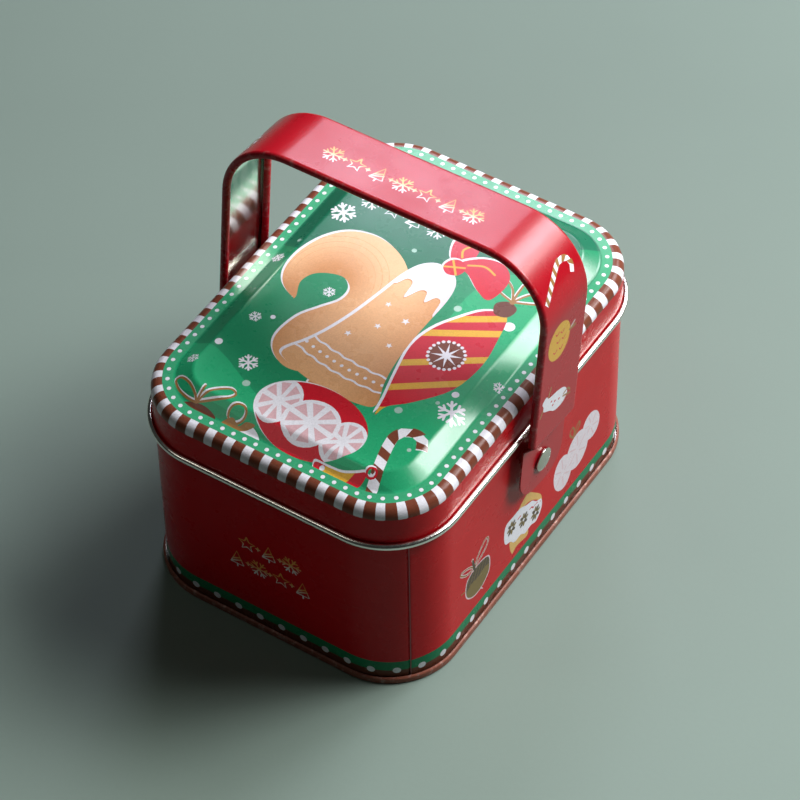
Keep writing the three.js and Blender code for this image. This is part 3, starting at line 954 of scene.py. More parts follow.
def lid_artwork(ways):
    """The lid's print from above: the rim's, and the picture inside it from back to front."""
    art = Artwork()
    rim_artwork(art, ways)
    art.shift, art.limit = (0.5, -0.8), -2.6
    hills(art)
    snowfall(art)
    motif_row(art, place(-13.2, 26.6), MOTIFS[:7], 2.9, 5.6, WHITE)
    scroll(art)
    striped_drop(art)
    crown_bow(art)
    bell(art, place(3.4, 16.8, -6.0))
    bow_knot(art)
    three_disc_bauble(art)
    crook = curve([(24.0, -46.4), (22.4, -40.0), (20.6, -33.0), (20.4, -29.4), (22.4, -27.2), (25.4, -27.2),
                   (27.3, -30.2)], False, 7)
    cane(art, crook, 2.5, BROWN, 4.95, -1.5, 1.2)
    corner_ornaments(art)
    return art


def thin_ring(art, x, y, radius, wide, ink, steps):
    """A ring drawn in two halves, so that no stroke meets itself."""
    ring = ellipse(x, y, radius, steps=steps)
    half = steps // 2
    art.stroke(ring[:half + 1], wide, ink)
    art.stroke(ring[half:] + ring[:1], wide, ink)


def corner_ornaments(art):
    """A bow, a ring and a tassel that peep over the lower edge."""
    art.fill(curve([(-24.8, -43.9), (-21.4, -43.0), (-18.4, -43.2), (-16.2, -44.4), (-19.4, -46.4),
                    (-23.4, -46.2)], True, 4), COCOA)
    left = curve([(-22.0, -43.0), (-23.2, -41.6), (-25.9, -39.8), (-28.7, -38.9), (-29.5, -39.9),
                  (-27.4, -41.7), (-24.4, -42.8), (-22.0, -43.0)], False, 5)
    right = curve([(-22.0, -43.0), (-20.8, -40.4), (-18.9, -38.4), (-16.6, -37.1), (-15.0, -37.9),
                   (-15.9, -39.6), (-18.8, -41.3), (-22.0, -43.0)], False, 5)
    for wide, shift, ink in ((0.55, 0.3, WHITE), (0.5, 0.0, KRAFT)):
        for line in (left, right, [(-22.1, -42.8), (-22.0, -39.2)]):
            art.stroke(moved(line, -shift, shift), wide, ink)
    tassel = curve([(-9.9, -46.0), (-9.3, -42.8), (-6.8, -42.9), (-4.6, -44.6), (-5.4, -47.0)], True, 4)
    art.fill(tassel, WHITE)
    for wide, shift, ink in ((0.55, 0.28, WHITE), (0.5, 0.0, KRAFT)):
        thin_ring(art, -12.2 - shift, -41.6 + shift, 2.0, wide, ink, 20)
    art.fill(curve([(-14.5, -44.6), (-12.8, -42.6), (-10.6, -43.6), (-9.4, -42.3), (-7.2, -42.2),
                    (-8.6, -43.8), (-11.4, -45.0)], True, 4), KRAFT)
    rope = curve([(8.8, -43.4), (12.0, -43.2), (15.6, -43.0), (18.4, -42.0), (20.6, -41.2), (20.2, -44.6),
                  (16.0, -46.4), (10.6, -46.0)], True, 4)
    base = haloed(art, rope, YELLOW, 0.4, 0.4)
    for part in ([(8, -42), (11.6, -42), (11.2, -46), (8, -47)],
                 [(17.4, -44.4), (18.6, -41), (22, -40), (21, -46), (17.8, -46.4), (18.4, -45.0)]):
        art.fill(part, DEEP_RED, base)
    art.fill(ellipse(11.0, -43.9, 0.6, steps=12), WHITE)
    for wide, shift, ink in ((0.45, 0.35, WHITE), (0.5, 0.0, DEEP_RED)):
        thin_ring(art, 21.5 - shift, -40.7 + shift, 1.1, wide, ink, 16)


def lid_top(sheet, ways):
    """The panel, the bevel and the rim, drawn in plan."""
    rows = LID_PROFILE.rows[:LID_PROFILE.brim + 1]
    edge = outline_at(rows[-1][0], ways[:-1])
    rings = [outline_at(row[0], corner_stations()) for row in rows[1:-1]]
    grid = [(2.4 * x, 2.4 * y) for x in range(-12, 13) for y in range(-17, 18)]
    layers = lid_artwork(ways).layers
    printed = tessellate(edge, layers, rings=rings, seeds=grid)
    lay(sheet, printed, lid_plan, layers, BROWN, 2)
    lay(sheet, tessellate(edge, rings=rings), lid_plan, (), WHITE, 1, SHEET)


def lid_side(sheet, ways):
    """The rounded edge and the skirt, unrolled to (distance round, distance down), and the curl."""
    profile = LID_PROFILE
    rows = profile.rows[profile.brim:profile.curl + 1]
    top, bottom, foot = rows[0][3], rows[-1][3], profile.stripe_end
    art = Artwork()
    art.fill([(0.0, top), (PERIMETER, top), (PERIMETER, foot), (0.0, foot)], BROWN)
    for start in STRIPE_STARTS:
        corner = [(x * STRIPE_ROUND, foot - y * STRIPE_ROUND) for x, y in ((1, 0), (0.1, 0.3), (0, 1))]
        left = [(start + x, down) for x, down in corner]
        right = [(start + STRIPE_WHITE - x, down) for x, down in reversed(corner)]
        art.fill([(start, top), (start + STRIPE_WHITE, top), *right, *left], WHITE)
    domain = [(way, top) for way in ways] + [(way, bottom) for way in reversed(ways)]
    guides = [[(0.0, row[3]), (PERIMETER, row[3])] for row in rows[1:-1]]
    guides += [[(way, top), (way, bottom)] for way in corner_stations()]
    printed = tessellate(domain, art.layers, guides)
    lay(sheet, printed, lambda way, down, depth: swept(way, profile.at(down), depth), art.layers, RED)
    sweep(sheet, profile.rows[profile.curl:], ways, RED, 0)
    sweep(sheet, profile.rows[profile.brim:], ways, WHITE, 1, SHEET)
    cut_edge(sheet, profile.rows[-1], ways, WHITE, 1)


def lid():
    """The top is charted in plan, and the rounded edge and skirt on a strip of their own."""
    sheet = Sheetwork()
    stripe_ends = [start + STRIPE_WHITE for start in STRIPE_STARTS]
    ways = sorted_unique([0.0, PERIMETER, *corner_stations(), *STRIPE_STARTS, *stripe_ends])
    lid_top(sheet, ways)
    lid_side(sheet, ways)
    return sheet.piece("tin_lid", [PRINT, TIN, LID_PRINT], "lid", "printed_lid", "lid_shell")


# ---------------------------------------------------------------- wall
SEAM_WAY = PERIMETER / 2 + CORE_X + CORNER * math.radians(48)
FACE_WAY = {"back": PERIMETER, "left": CORE_X + CORNER_ARC + CORE_Y, "front": PERIMETER / 2,
            "right": PERIMETER / 2 + CORE_X + CORNER_ARC + CORE_Y}
GREEN_TOP, GREEN_FOOT = 6.9, 3.9
WALL_DOTS = 55


def wall_profile():
    """From the flange in the bead up the straight wall to the inward curl at the top. It is walked
    downwards, so that the printed side is on its left."""
    curl, curl_drop = 0.9, 1.2
    profile = Profile(-2 * curl - SHEET, WALL_HIGH.z - curl_drop, 90)
    profile.turn(-180, curl + SHEET / 2, 14)
    return profile.forward(profile.rows[-1][1] - WALL_LOW.z)


def seam_dip(way):
    """How far the lock seam sets the wall in (negative) or out, and the slope of that: a sharp crease,
    and past it a raised fold that dies away."""
    along = (way - SEAM_WAY + PERIMETER / 2) % PERIMETER - PERIMETER / 2
    def dip(u):
        if u < 0:
            return -0.26 * math.exp(-(u / 0.22) ** 2)
        fold = 0.14 * (1 - math.exp(-(u / 0.3) ** 2)) * math.exp(-(u / 1.6) ** 2)
        return fold - 0.26 * math.exp(-(u / 0.16) ** 2)
    if abs(along) > 6:
        return 0.0, 0.0
    return dip(along), (dip(along + 0.01) - dip(along - 0.01)) / 0.02


def wall_point(way, height, depth=0.0):
    """Point and normal on the straight wall."""
    x, y, nx, ny = station(way)
    dip, slope = seam_dip(way)
    out = dip - depth
    side = -1 if depth > 0 else 1
    normal = (side * (nx + slope * ny), side * (ny - slope * nx), 0.0)
    return (x + out * nx, y + out * ny, height), normal


def seamed(way, row, depth=0.0):
    """Like swept, but set in and out by the lock seam."""
    (x, y, z), normal = swept(way, row, depth)
    _, _, nx, ny = station(way)
    dip, _ = seam_dip(way)
    return (x + dip * nx, y + dip * ny, z), normal


def wall_artwork():
    """The wall's print: two bands at the foot, dots between them, and a row of ornaments on each side, with a
    thin pale line beside the seam that is a painted highlight on its fold and also stands for its cut edge.
    """
    art = Artwork()
    start, end = SEAM_WAY, SEAM_WAY + PERIMETER
    for low, high, ink in ((WALL_LOW.z, GREEN_FOOT, COCOA), (GREEN_FOOT, GREEN_TOP, WALL_GREEN)):
        art.fill([(start, low), (end, low), (end, high), (start, high)], ink)
    # A painted highlight: a thin pale red line just past the seam, where its fold catches the light; it also
    # stands for the seam's cut edge.
    seam_highlight = start + 0.24
    art.stroke([(seam_highlight, WALL_LOW.z), (seam_highlight, LID_CURL_Z)], 0.16, mixed(RED, WHITE, 0.3), caps=False)
    for i in range(WALL_DOTS):
        way = start + PERIMETER * (i + 0.5) / WALL_DOTS
        art.fill(ellipse(way, GREEN_FOOT, 0.95, steps=20), WHITE)
    front, right = FACE_WAY["front"] + PERIMETER, FACE_WAY["right"]
    left, back = FACE_WAY["left"] + PERIMETER, FACE_WAY["back"]
    for middle, flip in ((right, 1), (left, -1)):
        acorn_bauble(art, place(middle - 23 * flip, 15.6, 0, 0.93, flip))
        flower_ball(art, place(middle - 3.5 * flip, 15.5, 0, 1, flip))
        lobed_ornament(art, place(middle + 19.5 * flip, 17, 0, 1, flip))
    for middle in (front, back):
        sparkle_rows(art, middle)
    return art


def acorn_bauble(art, put):
    """A brown bauble with a darker, hatched upper half under a thin ribbon bow."""
    body = curve([(-5.2, 0.6), (-4.2, 4.0), (0, 5.0), (4.4, 3.8), (5.3, 0.6), (4.6, -2.6), (1.4, -4.8),
                  (-2.0, -4.6), (-4.6, -2.4)], True, 4)
    art.fill(put([(x * 1.07, y * 1.07) for x, y in body]), mixed(WHITE, RED, 0.25))
    base = art.fill(put(body), OLIVE)
    upper = curve([(-6, 0.2), (-3, 0.9), (0, 0.5), (3, 1.2), (6, 0.8), (6, 7), (-6, 7)], True, 4)
    cap = art.fill(put(upper), SEPIA, base)
    for i in range(7):
        x = -5.4 + 1.6 * i
        art.stroke(put([(x, 0.2), (x + 2.4, 5.4)]), 0.22, OLIVE, caps=False, within=cap)
    art.stroke(put([(-5.6, 0.8), (-7.4, 1.4)]), 0.35, KRAFT)
    art.stroke(put([(1.4, -4.8), (2.2, -6.0)]), 0.35, mixed(WHITE, RED, 0.3))
    loops = (curve([(-1.6, 5.6), (-5.0, 6.4), (-7.8, 9.0), (-6.6, 9.2), (-3.4, 7.6), (-1.6, 5.6)], False, 5),
             curve([(-1.4, 5.6), (0.2, 8.6), (3.2, 11.2), (4.6, 10.4), (3.6, 8.0), (-1.4, 5.6)], False, 5),
             [(-1.6, 5.6), (-2.4, 9.4)])
    for line in loops:
        art.stroke(put(line), 0.75, mixed(WHITE, RED, 0.2))
        art.stroke(put(line), 0.42, KRAFT)
    art.stroke(put([(-1.5, 5.2), (-2.2, 8.6)]), 0.9, SEPIA)


def flower_ball(art, put):
    """A slanting ornament: three flower discs in a white field with wavy edges, between two gold tips."""
    top = curve([(-2.4, 5.8), (-0.6, 7.4), (1.8, 8.1), (4.6, 5.4), (7.4, 2.0), (7.7, -0.4), (4.8, 2.8),
                 (1.8, 4.8)], True, 4)
    low = curve([(-6.0, -1.6), (-4.9, -6.4), (-2.8, -5.6), (1.6, -6.6), (1.6, -4.2), (-3.0, -3.0)], True, 4)
    for tip in (top, low):
        art.fill(put(tip), mixed(YELLOW, WHITE, 0.12))
    field = curve([(-8.4, 3.0), (-7.6, 6.2), (-4.6, 6.3), (-1.6, 6.1), (1.2, 4.5), (3.6, 3.6), (5.4, 1.6),
                   (7.7, 0.2), (7.8, -3.0), (5.6, -5.4), (3.2, -4.6), (0.8, -4.9), (-1.2, -3.4),
                   (-3.8, -3.4), (-5.6, -1.4), (-7.8, -0.2)], True, 4)
    base = art.fill(put(field), WHITE)
    for side, across in ((1, 5.0), (-1, -2.6)):
        wave = [(-7 + 0.8 * i, across - 0.36 * (0.8 * i) + 0.45 * math.sin(2.1 * i)) for i in range(19)]
        art.stroke(put(wave), 0.4, RED, caps=False, within=base)
    for x, y in ((-5.2, 3.0), (0.0, 0.6), (5.2, -2.2)):
        disc = art.fill(put(ellipse(x, y, 2.6, 2.9, steps=24)), WHITE)
        art.fill(put(ellipse(x, y, 1.75, 2.0, steps=18)), mixed(WHITE, OLIVE, 0.25), disc)
        for i in range(8):
            angle = math.radians(45 * i)
            petal = ellipse(x + 1.1 * math.cos(angle), y + 1.3 * math.sin(angle), 0.95, 0.45, 45 * i, 10)
            art.fill(put(petal), SEPIA if i % 2 else OLIVE, disc)
        art.fill(put(ellipse(x, y, 0.45, steps=10)), WHITE)


def lobed_ornament(art, put):
    """A white ornament of three overlapping lobes with faint pink veins and a gold tie."""
    for x, y, across, up, turn in ((-6.0, -1.6, 3.9, 5.9, 12), (6.4, 2.8, 3.6, 4.8, 24),
                                   (0.4, 0.2, 4.8, 5.9, 10)):
        lobe = art.fill(put(ellipse(x, y, across, up, turn, 30)), mixed(WHITE, PINK, 0.3))
        spot = place(x, y, turn)
        for i in range(6):
            ray = math.radians(60 * i + 10)
            vein = spot([(0.25 * across * math.cos(ray), 0.25 * up * math.sin(ray)),
                         (0.8 * across * math.cos(ray + 0.18), 0.8 * up * math.sin(ray + 0.18))])
            art.stroke(put(vein), 0.42, mixed(PINK, WHITE, 0.25), within=lobe)
    for line in (curve([(-1.6, 6.2), (-3.2, 8.6), (-2.2, 10.2), (-1.2, 8.4), (-1.6, 6.2)], False, 4),
                 curve([(-1.4, 6.2), (0.0, 9.0), (1.2, 9.4), (0.8, 7.6), (-1.4, 6.2)], False, 4)):
        art.stroke(put(line), 0.55, KRAFT)


def sparkle_rows(art, middle):
    """Two rows of small plain motifs, gold above and white below."""
    for kinds, height in ((MOTIFS[2:7], 27.8), (MOTIFS[4:11], 21.0)):
        def ink(way, z, height=height):
            return mixed(GOLD, WHITE, (height + 0.3 - z) / 2.4)
        motif_row(art, place(middle, height), kinds, 2.9, 5.6, ink)


def past_seam(way):
    """A station counted from the seam, where the wall's chart begins and ends."""
    return way + (PERIMETER if way < SEAM_WAY else 0)


def wall():
    """The wall's chart runs once round the tin from the seam. The inward curl is swept above it."""
    sheet = Sheetwork()
    profile = wall_profile()
    bottom, top = WALL_LOW.z, profile.rows[-2][1]
    near_seam = [SEAM_WAY + u for u in (0.06, 0.12, 0.18, 0.25, 0.35, 0.5, 0.8, 1.3, 2.0, 3.0, 4.5)]
    near_seam += [SEAM_WAY + PERIMETER - u for u in (0.08, 0.16, 0.25, 0.35, 0.5, 0.8)]
    corners = map(past_seam, corner_stations())
    ways = sorted_unique([SEAM_WAY, SEAM_WAY + PERIMETER, *near_seam, *corners])
    domain = [(way, bottom) for way in ways] + [(way, top) for way in reversed(ways)]
    guides = [[(way, bottom), (way, top)] for way in ways[1:-1]]
    holes = [ellipse(past_seam(FACE_WAY[side]), PIVOT_Z, RIVET_HOLE, steps=28) for side in ("left", "right")]
    layers = wall_artwork().layers
    printed = tessellate(domain, layers, guides, holes=holes)
    lay(sheet, printed, wall_point, layers, RED)
    plain = tessellate(domain, (), guides, holes=holes)
    lay(sheet, plain, wall_point, (), WHITE, 1, SHEET)
    for hole in holes:
        centre = wall_point(sum(p[0] for p in hole) / len(hole), PIVOT_Z)[0]
        for a, b in zip(hole, hole[1:] + hole[:1]):
            ring = [wall_point(*p, depth)[0] for p, depth in across_sheet(a, b)]
            sheet.plain([(p, tuple(c - q for c, q in zip(centre, p))) for p in ring], WHITE, 1)
    sweep(sheet, profile.rows[:-1], ways, RED, 0, at=seamed)
    sweep(sheet, profile.rows[:-1], ways, WHITE, 1, SHEET, at=seamed)
    cut_edge(sheet, profile.rows[0], ways, WHITE, 1, -1, at=seamed)
    cut_edge(sheet, profile.rows[-1], ways, WHITE, 1, at=seamed)
    return sheet.piece("tin_wall", [PRINT, TIN], "tin_base", "printed_wall", "body_wall")


# ---------------------------------------------------------------- base
def base():
    """The bead rolled round the wall's lower edge, the step up inside it, and the base panel with a
    shallow raised field."""
    sheet = Sheetwork()
    bead_round, foot_round, step_round = 0.55, 0.5, 0.45
    lip, foot_wide = 0.32, 0.9
    border_wide, ramp, ramp_run, ramp_round, rest = 3.5, 12, 1.6, 2.0, 0.8
    profile = Profile(lip, BASE_HIGH.z, 0)
    profile.turn(-90, bead_round, 6)
    profile.forward(profile.rows[-1][1] - foot_round)
    profile.turn(-90, foot_round, 6)
    profile.forward(profile.rows[-1][0] + foot_wide - foot_round)
    profile.turn(-90, foot_round, 6)
    profile.forward(BASE_HIGH.z - SHEET - step_round - profile.rows[-1][1])
    profile.turn(90, step_round, 5)
    profile.forward(border_wide).turn(-ramp, ramp_round, 3)
    profile.forward(ramp_run).turn(ramp, ramp_round, 3)
    profile.forward(rest)
    ways = sorted_unique([0.0, PERIMETER, *corner_stations()])
    sweep(sheet, profile.rows, ways, COPPER, 0, wear=BEAD_WEAR)
    sweep(sheet, profile.rows, ways, WHITE, 1, SHEET)
    last = profile.rows[-1]
    edge = outline_at(last[0], ways[:-1])
    for depth, slot, up in ((0.0, 0, -1), (SHEET, 1, 1)):
        for corners, _ in tessellate(edge):
            sheet.flat([(x, y, last[1] + depth) for x, y in corners], (0, 0, up), COPPER, slot)
    cut_edge(sheet, profile.rows[0], ways, COPPER, 0, -1)
    return sheet.piece("tin_base_panel", [BEAD_PRINT, TIN], "tin_base", "printed_bead", "base_plate")


# ---------------------------------------------------------------- handle
def strap_profile():
    """The strap from one tab to the other, in the plane across the tin, standing upright."""
    step_out = STRAP_HALF_SPAN - TAB_OUTSIDE
    joggle = math.degrees(math.atan2(step_out, JOGGLE_TOP - JOGGLE_FOOT))
    soft, crease = 0.9, 0.7
    reach = math.tan(math.radians(joggle / 2))
    run = math.hypot(step_out, JOGGLE_TOP - JOGGLE_FOOT) - (soft + crease) * reach
    profile = Profile(-TAB_OUTSIDE, PIVOT_Z - TAB_DROP, 90)
    profile.forward(TAB_DROP + JOGGLE_FOOT - soft * reach)
    profile.tab = profile.rows[-1][3]
    profile.turn(joggle, soft, 4).forward(run).turn(-joggle, crease, 4)
    profile.arm = profile.rows[-1][3]
    profile.forward(PIVOT_Z + STRAP_REACH - STRAP_BEND - profile.rows[-1][1])
    profile.turn(-90, STRAP_BEND, 20)
    profile.forward(STRAP_HALF_SPAN - STRAP_BEND)
    length = 2 * profile.rows[-1][3]
    profile.rows += [(-x, z, -heading, length - way) for x, z, heading, way in profile.rows[-2::-1]]
    return profile


STRAP = strap_profile()
STRAP_LENGTH = STRAP.rows[-1][3]
WEB = STRAP_HALF_WIDTH - HEM          # half of the flat between the rolled edges
HOLE_WAYS = (TAB_DROP, STRAP_LENGTH - TAB_DROP)


def lean(point):
    """Turns an upright point or direction about the rivets to the handle's rest."""
    return Matrix.Rotation(-LEAN, 3, "X") @ Vector(point)


def leaned(point, normal):
    raised = lean((point[0], point[1], point[2] - PIVOT_Z))
    return (raised.x, raised.y, raised.z + PIVOT_Z), tuple(lean(normal))


def strap_point(across, way, depth=0.0):
    x, z, nx, nz = sided(STRAP.at(way), depth)
    return leaned((x, across, z), (nx, 0.0, nz))


# The strap's way up to the arm, less the height that it gains: the joggle is longer than it is high.
JOGGLE_SPARE = STRAP.arm - (STRAP.at(STRAP.arm)[1] - STRAP.rows[0][1])


def arm_point(y, z, side):
    """The chart point at a height of the upright handle, on its arm at +X or, with side=-1, at -X."""
    way = z - (PIVOT_Z - TAB_DROP) + JOGGLE_SPARE
    return y, STRAP_LENGTH - way if side > 0 else way


def arm_picture(art, on):
    """A cane over a bauble over an angel."""
    hook = curve([(-7.2, 85.2), (-4.6, 87.2), (-1.5, 89.2), (1.6, 90.8), (4.3, 90.4), (5.1, 88.6),
                  (4.2, 86.8)], False, 6)
    cane(art, on(hook), 1.35, KRAFT, 2.3, 0.945)
    art.fill(on(ellipse(-2.4, 72.7, 4.5, 5.1, 8, 36)), YELLOW)
    for y, z in ((-3.6, 75.3), (-1.4, 74.7), (-2.8, 72.7), (-3.8, 70.3), (-1.4, 70.1), (-0.6, 72.5)):
        art.stroke(on(curve([(y - 0.7, z + 0.3), (y, z - 0.4), (y + 0.7, z + 0.3)], False, 3)), 0.3, DEEP_RED)
    art.stroke(on([(2.0, 73.0), (4.2, 72.8)]), 0.9, KRAFT)
    art.stroke(on([(2.4, 73.4), (3.9, 74.2)]), 0.5, mixed(WHITE, KRAFT, 0.4))
    angel = curve([(-7.0, 57.6), (-5.6, 58.6), (-4.0, 57.4), (-0.4, 57.0), (2.6, 55.8), (4.0, 53.4),
                   (2.4, 51.6), (-1.0, 51.6), (-3.4, 53.2), (-6.2, 54.8), (-6.4, 56.2)], True, 4)
    base = art.fill(on(angel), WHITE)
    for y, z in ((-3.0, 55.6), (-1.4, 54.6), (0.4, 54.0), (-2.2, 54.0)):
        art.fill(on(ellipse(y, z, 0.4, 0.3, steps=8)), DEEP_RED, base)
    for line in ([(-4.6, 57.8), (-3.8, 60.2)], [(-6.6, 55.2), (-7.4, 53.8)],
                 curve([(2.2, 53.4), (3.8, 52.8), (5.4, 52.2)], False, 3),
                 curve([(2.4, 54.0), (4.2, 54.4), (5.2, 53.2)], False, 3)):
        art.stroke(on(line), 0.5, KRAFT)


def strap_artwork():
    """The strap's print: a picture on each arm and a row of small motifs over the bridge."""
    art = Artwork()
    for side in (1, -1):
        def on(points, side=side):
            return [arm_point(side * y, z, side) for y, z in points]
        arm_picture(art, on)

    def bridge(points):
        return [(y - 1.4, STRAP_LENGTH / 2 + x) for x, y in points]
    motif_row(art, bridge, MOTIFS, 2.95, 5.4, lambda y, way: mixed(GOLD, WHITE, (-0.8 - y) / 2.6))
    return art


def hem_profile():
    """The rolled edge in section: across the strap and below its outside."""
    return Profile(WEB, 0.0, 0).turn(-285, HEM, 18)


def hem_point(row, way, depth, flip):
    """A point on a rolled edge. flip is -1 for the -Y edge."""
    across, drop, out, up = sided(row, depth)
    x, z, nx, nz = sided(STRAP.at(way))
    return leaned((x + drop * nx, flip * across, z + drop * nz), (up * nx, flip * out, up * nz))


def strap_outline():
    """The strap's chart from tab to tab, narrower by the hems along its arms and bridge."""
    half = STRAP_HALF_WIDTH
    tab = ellipse(half - TAB_ROUND, TAB_ROUND, TAB_ROUND, steps=12, start=0, end=-90)
    tab += ellipse(-half + TAB_ROUND, TAB_ROUND, TAB_ROUND, steps=12, start=-90, end=-180)
    first = [(-WEB, STRAP.arm), (-half, STRAP.tab), *tab[::-1], (half, STRAP.tab), (WEB, STRAP.arm)]
    return first + [(-y, STRAP_LENGTH - way) for y, way in first]


def strap_guides():
    """Lines across the strap at its bends, and every few millimetres between them."""
    step, wide = 5.0, STRAP_HALF_WIDTH + 1
    bends = [row[3] for row in STRAP.rows]
    between = [way for way in (step * i for i in range(1, int(STRAP_LENGTH / step)))
               if STRAP.arm + 1 < way < STRAP_LENGTH - STRAP.arm - 1
               and min(abs(way - bend) for bend in bends) > 0.5]
    return [[(-wide, way), (wide, way)] for way in bends[1:-1] + between]


def strap_cut(sheet, a, b):
    """The strap's cut edge between two chart points, round a tab or in a rivet's hole."""
    corners = [strap_point(*p, depth)[0] for p, depth in across_sheet(a, b)]
    hole = next((way for way in HOLE_WAYS if math.dist(a, (0, way)) < RIVET_HOLE + 0.1), None)
    inmost = TAB_ROUND + 1
    middle = min(max(a[1], inmost), STRAP_LENGTH - inmost) if hole is None else hole
    away = Vector(corners[0]) - Vector(strap_point(0.0, middle)[0])
    flat = (Vector(corners[1]) - Vector(corners[0])).cross(Vector(corners[3]) - Vector(corners[0]))
    if flat.dot(away if hole is None else -away) < 0:
        flat.negate()
    sheet.flat(corners, tuple(flat), STRAP_RED, 0 if hole is None else 1, CUT_WEAR)


def hem(sheet, ways, flip):
    """A rolled edge with its lip and its two ends. flip is -1 for the -Y edge."""
    roll = hem_profile().rows
    end = roll[-1]
    for a, b in zip(ways, ways[1:]):
        for low, high in zip(roll, roll[1:]):
            for depth, slot in ((0.0, 0), (SHEET, 1)):
                ring = [hem_point(row, way, depth, flip)
                        for row, way in ((low, a), (low, b), (high, b), (high, a))]
                sheet.plain(ring, STRAP_RED, slot, HEM_WEAR)
        lip = [hem_point(end, way, depth, flip)[0] for way, depth in across_sheet(a, b)]
        _, _, nx, nz = sided(STRAP.at(a))
        rise = math.sin(end[2])
        sheet.flat(lip, tuple(lean((rise * nx, flip * math.cos(end[2]), rise * nz))), RED, 1)
    for way, sign in ((ways[0], -1), (ways[-1], 1)):
        heading = STRAP.at(way)[2]
        normal = tuple(lean((sign * math.cos(heading), 0.0, sign * math.sin(heading))))
        for low, high in zip(roll, roll[1:]):
            cap = [hem_point(row, way, depth, flip)[0] for row, depth in across_sheet(low, high)]
            sheet.flat(cap, normal, STRAP_RED, 0)


def handle():
    """The strap's flat part is charted; its hems are swept along the chart's straight borders."""
    sheet = Sheetwork()
    outline, guides = strap_outline(), strap_guides()
    holes = [ellipse(0, way, RIVET_HOLE, steps=28) for way in HOLE_WAYS]
    layers = strap_artwork().layers
    printed = tessellate(outline, layers, guides, holes=holes)
    lay(sheet, printed, strap_point, layers, STRAP_RED)
    bare = tessellate(outline, (), guides, holes=holes)
    lay(sheet, bare, strap_point, (), WHITE, 1, SHEET)
    hem_ways = {1: set(), -1: set()}
    for a, b in border(printed):
        if all(abs(abs(y) - WEB) < 1e-6 for y in (a[0], b[0])):
            hem_ways[1 if a[0] > 0 else -1].update((a[1], b[1]))
        else:
            strap_cut(sheet, a, b)
    for flip, ways in hem_ways.items():
        hem(sheet, sorted(ways), flip)
    return sheet.piece("strap_handle", [STRAP_PRINT, STRAP_TIN], "handle", "printed_strap", "handle_strap")


# ---------------------------------------------------------------- rivets and spacers
def turned(sheet, profile, side, sides=56):
    """Turns a profile, (distance out along X, radius), round the rivets' axis."""
    def corner(row, i):
        out, radius, across, away = sided(row)
        angle = 2 * math.pi * i / sides
        cos, sin = math.cos(angle), math.sin(angle)
        radius = max(radius, 0.0)
        return (side * out, radius * cos, PIVOT_Z + radius * sin), (side * across, away * cos, away * sin)
    for low, high in zip(profile.rows, profile.rows[1:]):
        for i in range(sides):
            ring = [corner(low, i), corner(low, i + 1), corner(high, i + 1), corner(high, i)]
            sheet.plain(ring, WHITE)


def rivet(name, side):
    """A rivet with a domed head outside the tab and a clinched tail inside the wall."""
    head_radius = (RIVET_HIGH.z - RIVET_LOW.z) / 2
    inside, outside = RIVET_LOW.x, RIVET_HIGH.x
    shank, tail, tail_height, tail_round = 1.3, 2.2, 0.7, 0.35
    head_height, small, brim, neck = outside - TAB_OUTSIDE - 0.3, 0.14, 0.16, 0.1
    tail_edge, head_edge = 0.08, 0.06
    dome = head_height - brim - small
    wide = head_radius - small
    dome_radius = (wide ** 2 + dome ** 2) / (2 * dome)
    dome_angle = math.degrees(math.asin(wide / dome_radius))
    profile = Profile(inside, 0.0, 90)
    profile.forward(tail - tail_round).turn(-90, tail_round, 5)
    profile.forward(inside + tail_height - tail_edge - profile.rows[-1][0]).turn(-90, tail_edge, 2)
    profile.forward(profile.rows[-1][1] - shank - neck).turn(90, neck, 3)
    profile.forward(outside - head_height - neck - profile.rows[-1][0]).turn(90, neck, 3)
    profile.forward(head_radius - head_edge - profile.rows[-1][1]).turn(-90, head_edge, 2)
    profile.forward(brim)
    profile.turn(-90 + dome_angle, small, 4)
    profile.turn(-dome_angle, dome_radius, 12)
    last = profile.rows[-1]
    profile.rows[-1] = (last[0], 0.0, last[2], last[3])
    sheet = Sheetwork()
    turned(sheet, profile, side)
    return sheet.piece(name, [RIVET_TIN], "tin_base", "bare_metal", name.replace("_stud", ""))


def spacer(name, side):
    """The collar that holds a tab off the wall."""
    chamfer = 0.2
    thick = (SPACER_HIGH.z - SPACER_LOW.z) / 2 - RIVET_HOLE
    long = SPACER_HIGH.x - SPACER_LOW.x
    profile = Profile(SPACER_LOW.x, RIVET_HOLE + chamfer, 90)
    for length in (thick, long, thick, long):
        profile.forward(length - 2 * chamfer).turn(-90, chamfer, 4)
    sheet = Sheetwork()
    turned(sheet, profile, side)
    return sheet.piece(name, [RIVET_TIN], "tin_base", "bare_metal", name.replace("_collar", ""))


lid()
wall()
base()
handle()
for word, which in (("left", -1), ("right", 1)):
    rivet(f"rivet_{word}_stud", which)
    spacer(f"spacer_{word}_collar", which)


# ---------------------------------------------------------------- studio
def floor():
    size = 3.0
    corners = [(-size, -size, 0), (size, -size, 0), (size, size, 0), (-size, size, 0)]
    mesh = bpy.data.meshes.new("studio_floor")
    mesh.from_pydata(corners, [], [(0, 1, 2, 3)])
    mesh.materials.append(studio_floor("sage_board"))
    made = bpy.data.objects.new("studio_floor", mesh)
    bpy.context.scene.collection.objects.link(made)


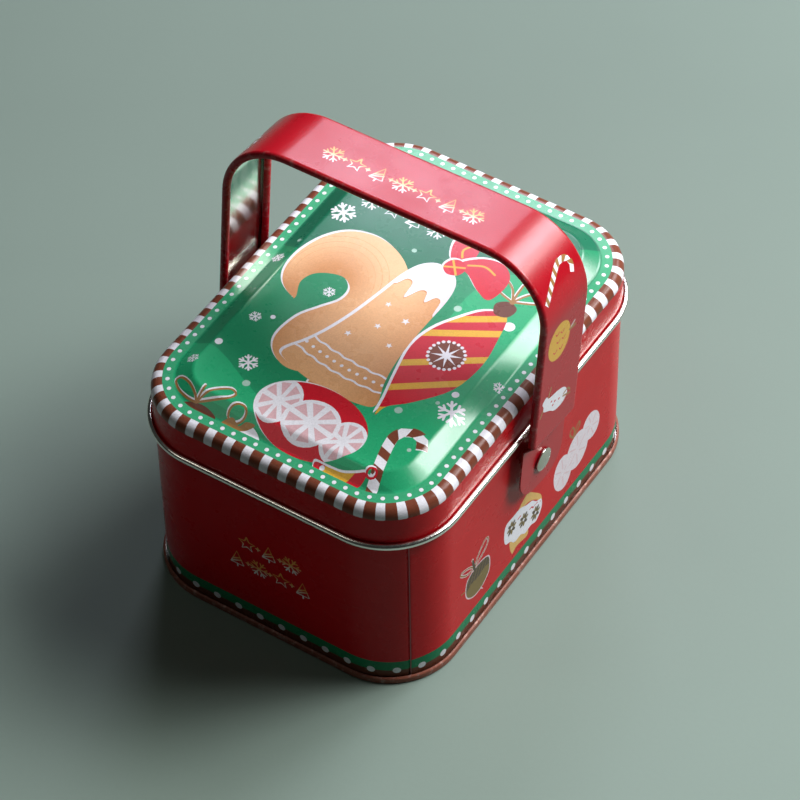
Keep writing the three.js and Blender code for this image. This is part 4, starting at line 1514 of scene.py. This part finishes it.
def softbox(name, place_at, aim, size, power, colour):
    """A rectangular lamp turned towards a point."""
    light = bpy.data.lights.new(name, "AREA")
    light.shape = "RECTANGLE"
    light.size, light.size_y = size
    light.energy = power
    light.color = colour
    lamp = bpy.data.objects.new(name, light)
    lamp.location = place_at
    lamp.rotation_mode = "QUATERNION"
    lamp.rotation_quaternion = (Vector(aim) - Vector(place_at)).to_track_quat("-Z", "Y")
    bpy.context.scene.collection.objects.link(lamp)


# Name, place in metres, size in metres, watts and colour.
LIGHTS = (("window_left", (-0.37, 0.74, 0.67), (0.28, 0.18), 2.4, (0.97, 0.95, 1.14)),
          ("window_main", (0.34, 0.52, 0.67), (0.72, 0.52), 14.4, (1.0, 1.0, 1.0)),
          ("window_pane", (0.52, 0.56, 0.68), (0.25, 0.2), 3.6, (1.0, 1.0, 1.0)),
          ("window_low", (0.20, 0.78, 0.62), (0.3, 0.22), 3.2, (0.97, 0.95, 1.12)),
          ("ceiling_strip", (-0.45, -0.40, 0.95), (0.14, 0.5), 0.55, (1.0, 0.93, 0.84)))


def studio():
    """The board under the tin, the windows' light, and Blender's plain view transform."""
    floor()
    for name, where, size, power, colour in LIGHTS:
        softbox(name, where, (0, 0, 0.04), size, power, colour)
    world = bpy.data.worlds.new("studio")
    world.use_nodes = True
    background = world.node_tree.nodes["Background"]
    background.inputs[0].default_value = (0.72, 0.86, 0.82, 1)
    background.inputs[1].default_value = 0.03
    bpy.context.scene.world = world
    bpy.context.scene.view_settings.view_transform = "Standard"


def camera():
    """A long lens from above the corner between the front and the right side."""
    azimuth, elevation, roll = math.radians(33.466), math.radians(48.325), math.radians(-1.099)
    distance, aim = 0.842847, Vector((-0.00705, 0.01382, 0.01372))
    level_part, height_part = math.cos(elevation), math.sin(elevation)
    back = Vector((math.sin(azimuth) * level_part, -math.cos(azimuth) * level_part, height_part))
    level = Vector((0, 0, 1)).cross(back).normalized()
    up = back.cross(level)
    right = level * math.cos(roll) + up * math.sin(roll)
    top = up * math.cos(roll) - level * math.sin(roll)
    turned_to = Matrix((right, top, back)).transposed().to_4x4()
    data = bpy.data.cameras.new("camera")
    data.lens, data.sensor_width = 163.68, 36
    data.clip_start, data.clip_end = 0.05, 20
    made = bpy.data.objects.new("camera", data)
    made.matrix_world = Matrix.Translation(aim + distance * back) @ turned_to
    bpy.context.scene.collection.objects.link(made)
    bpy.context.scene.camera = made


studio()
camera()
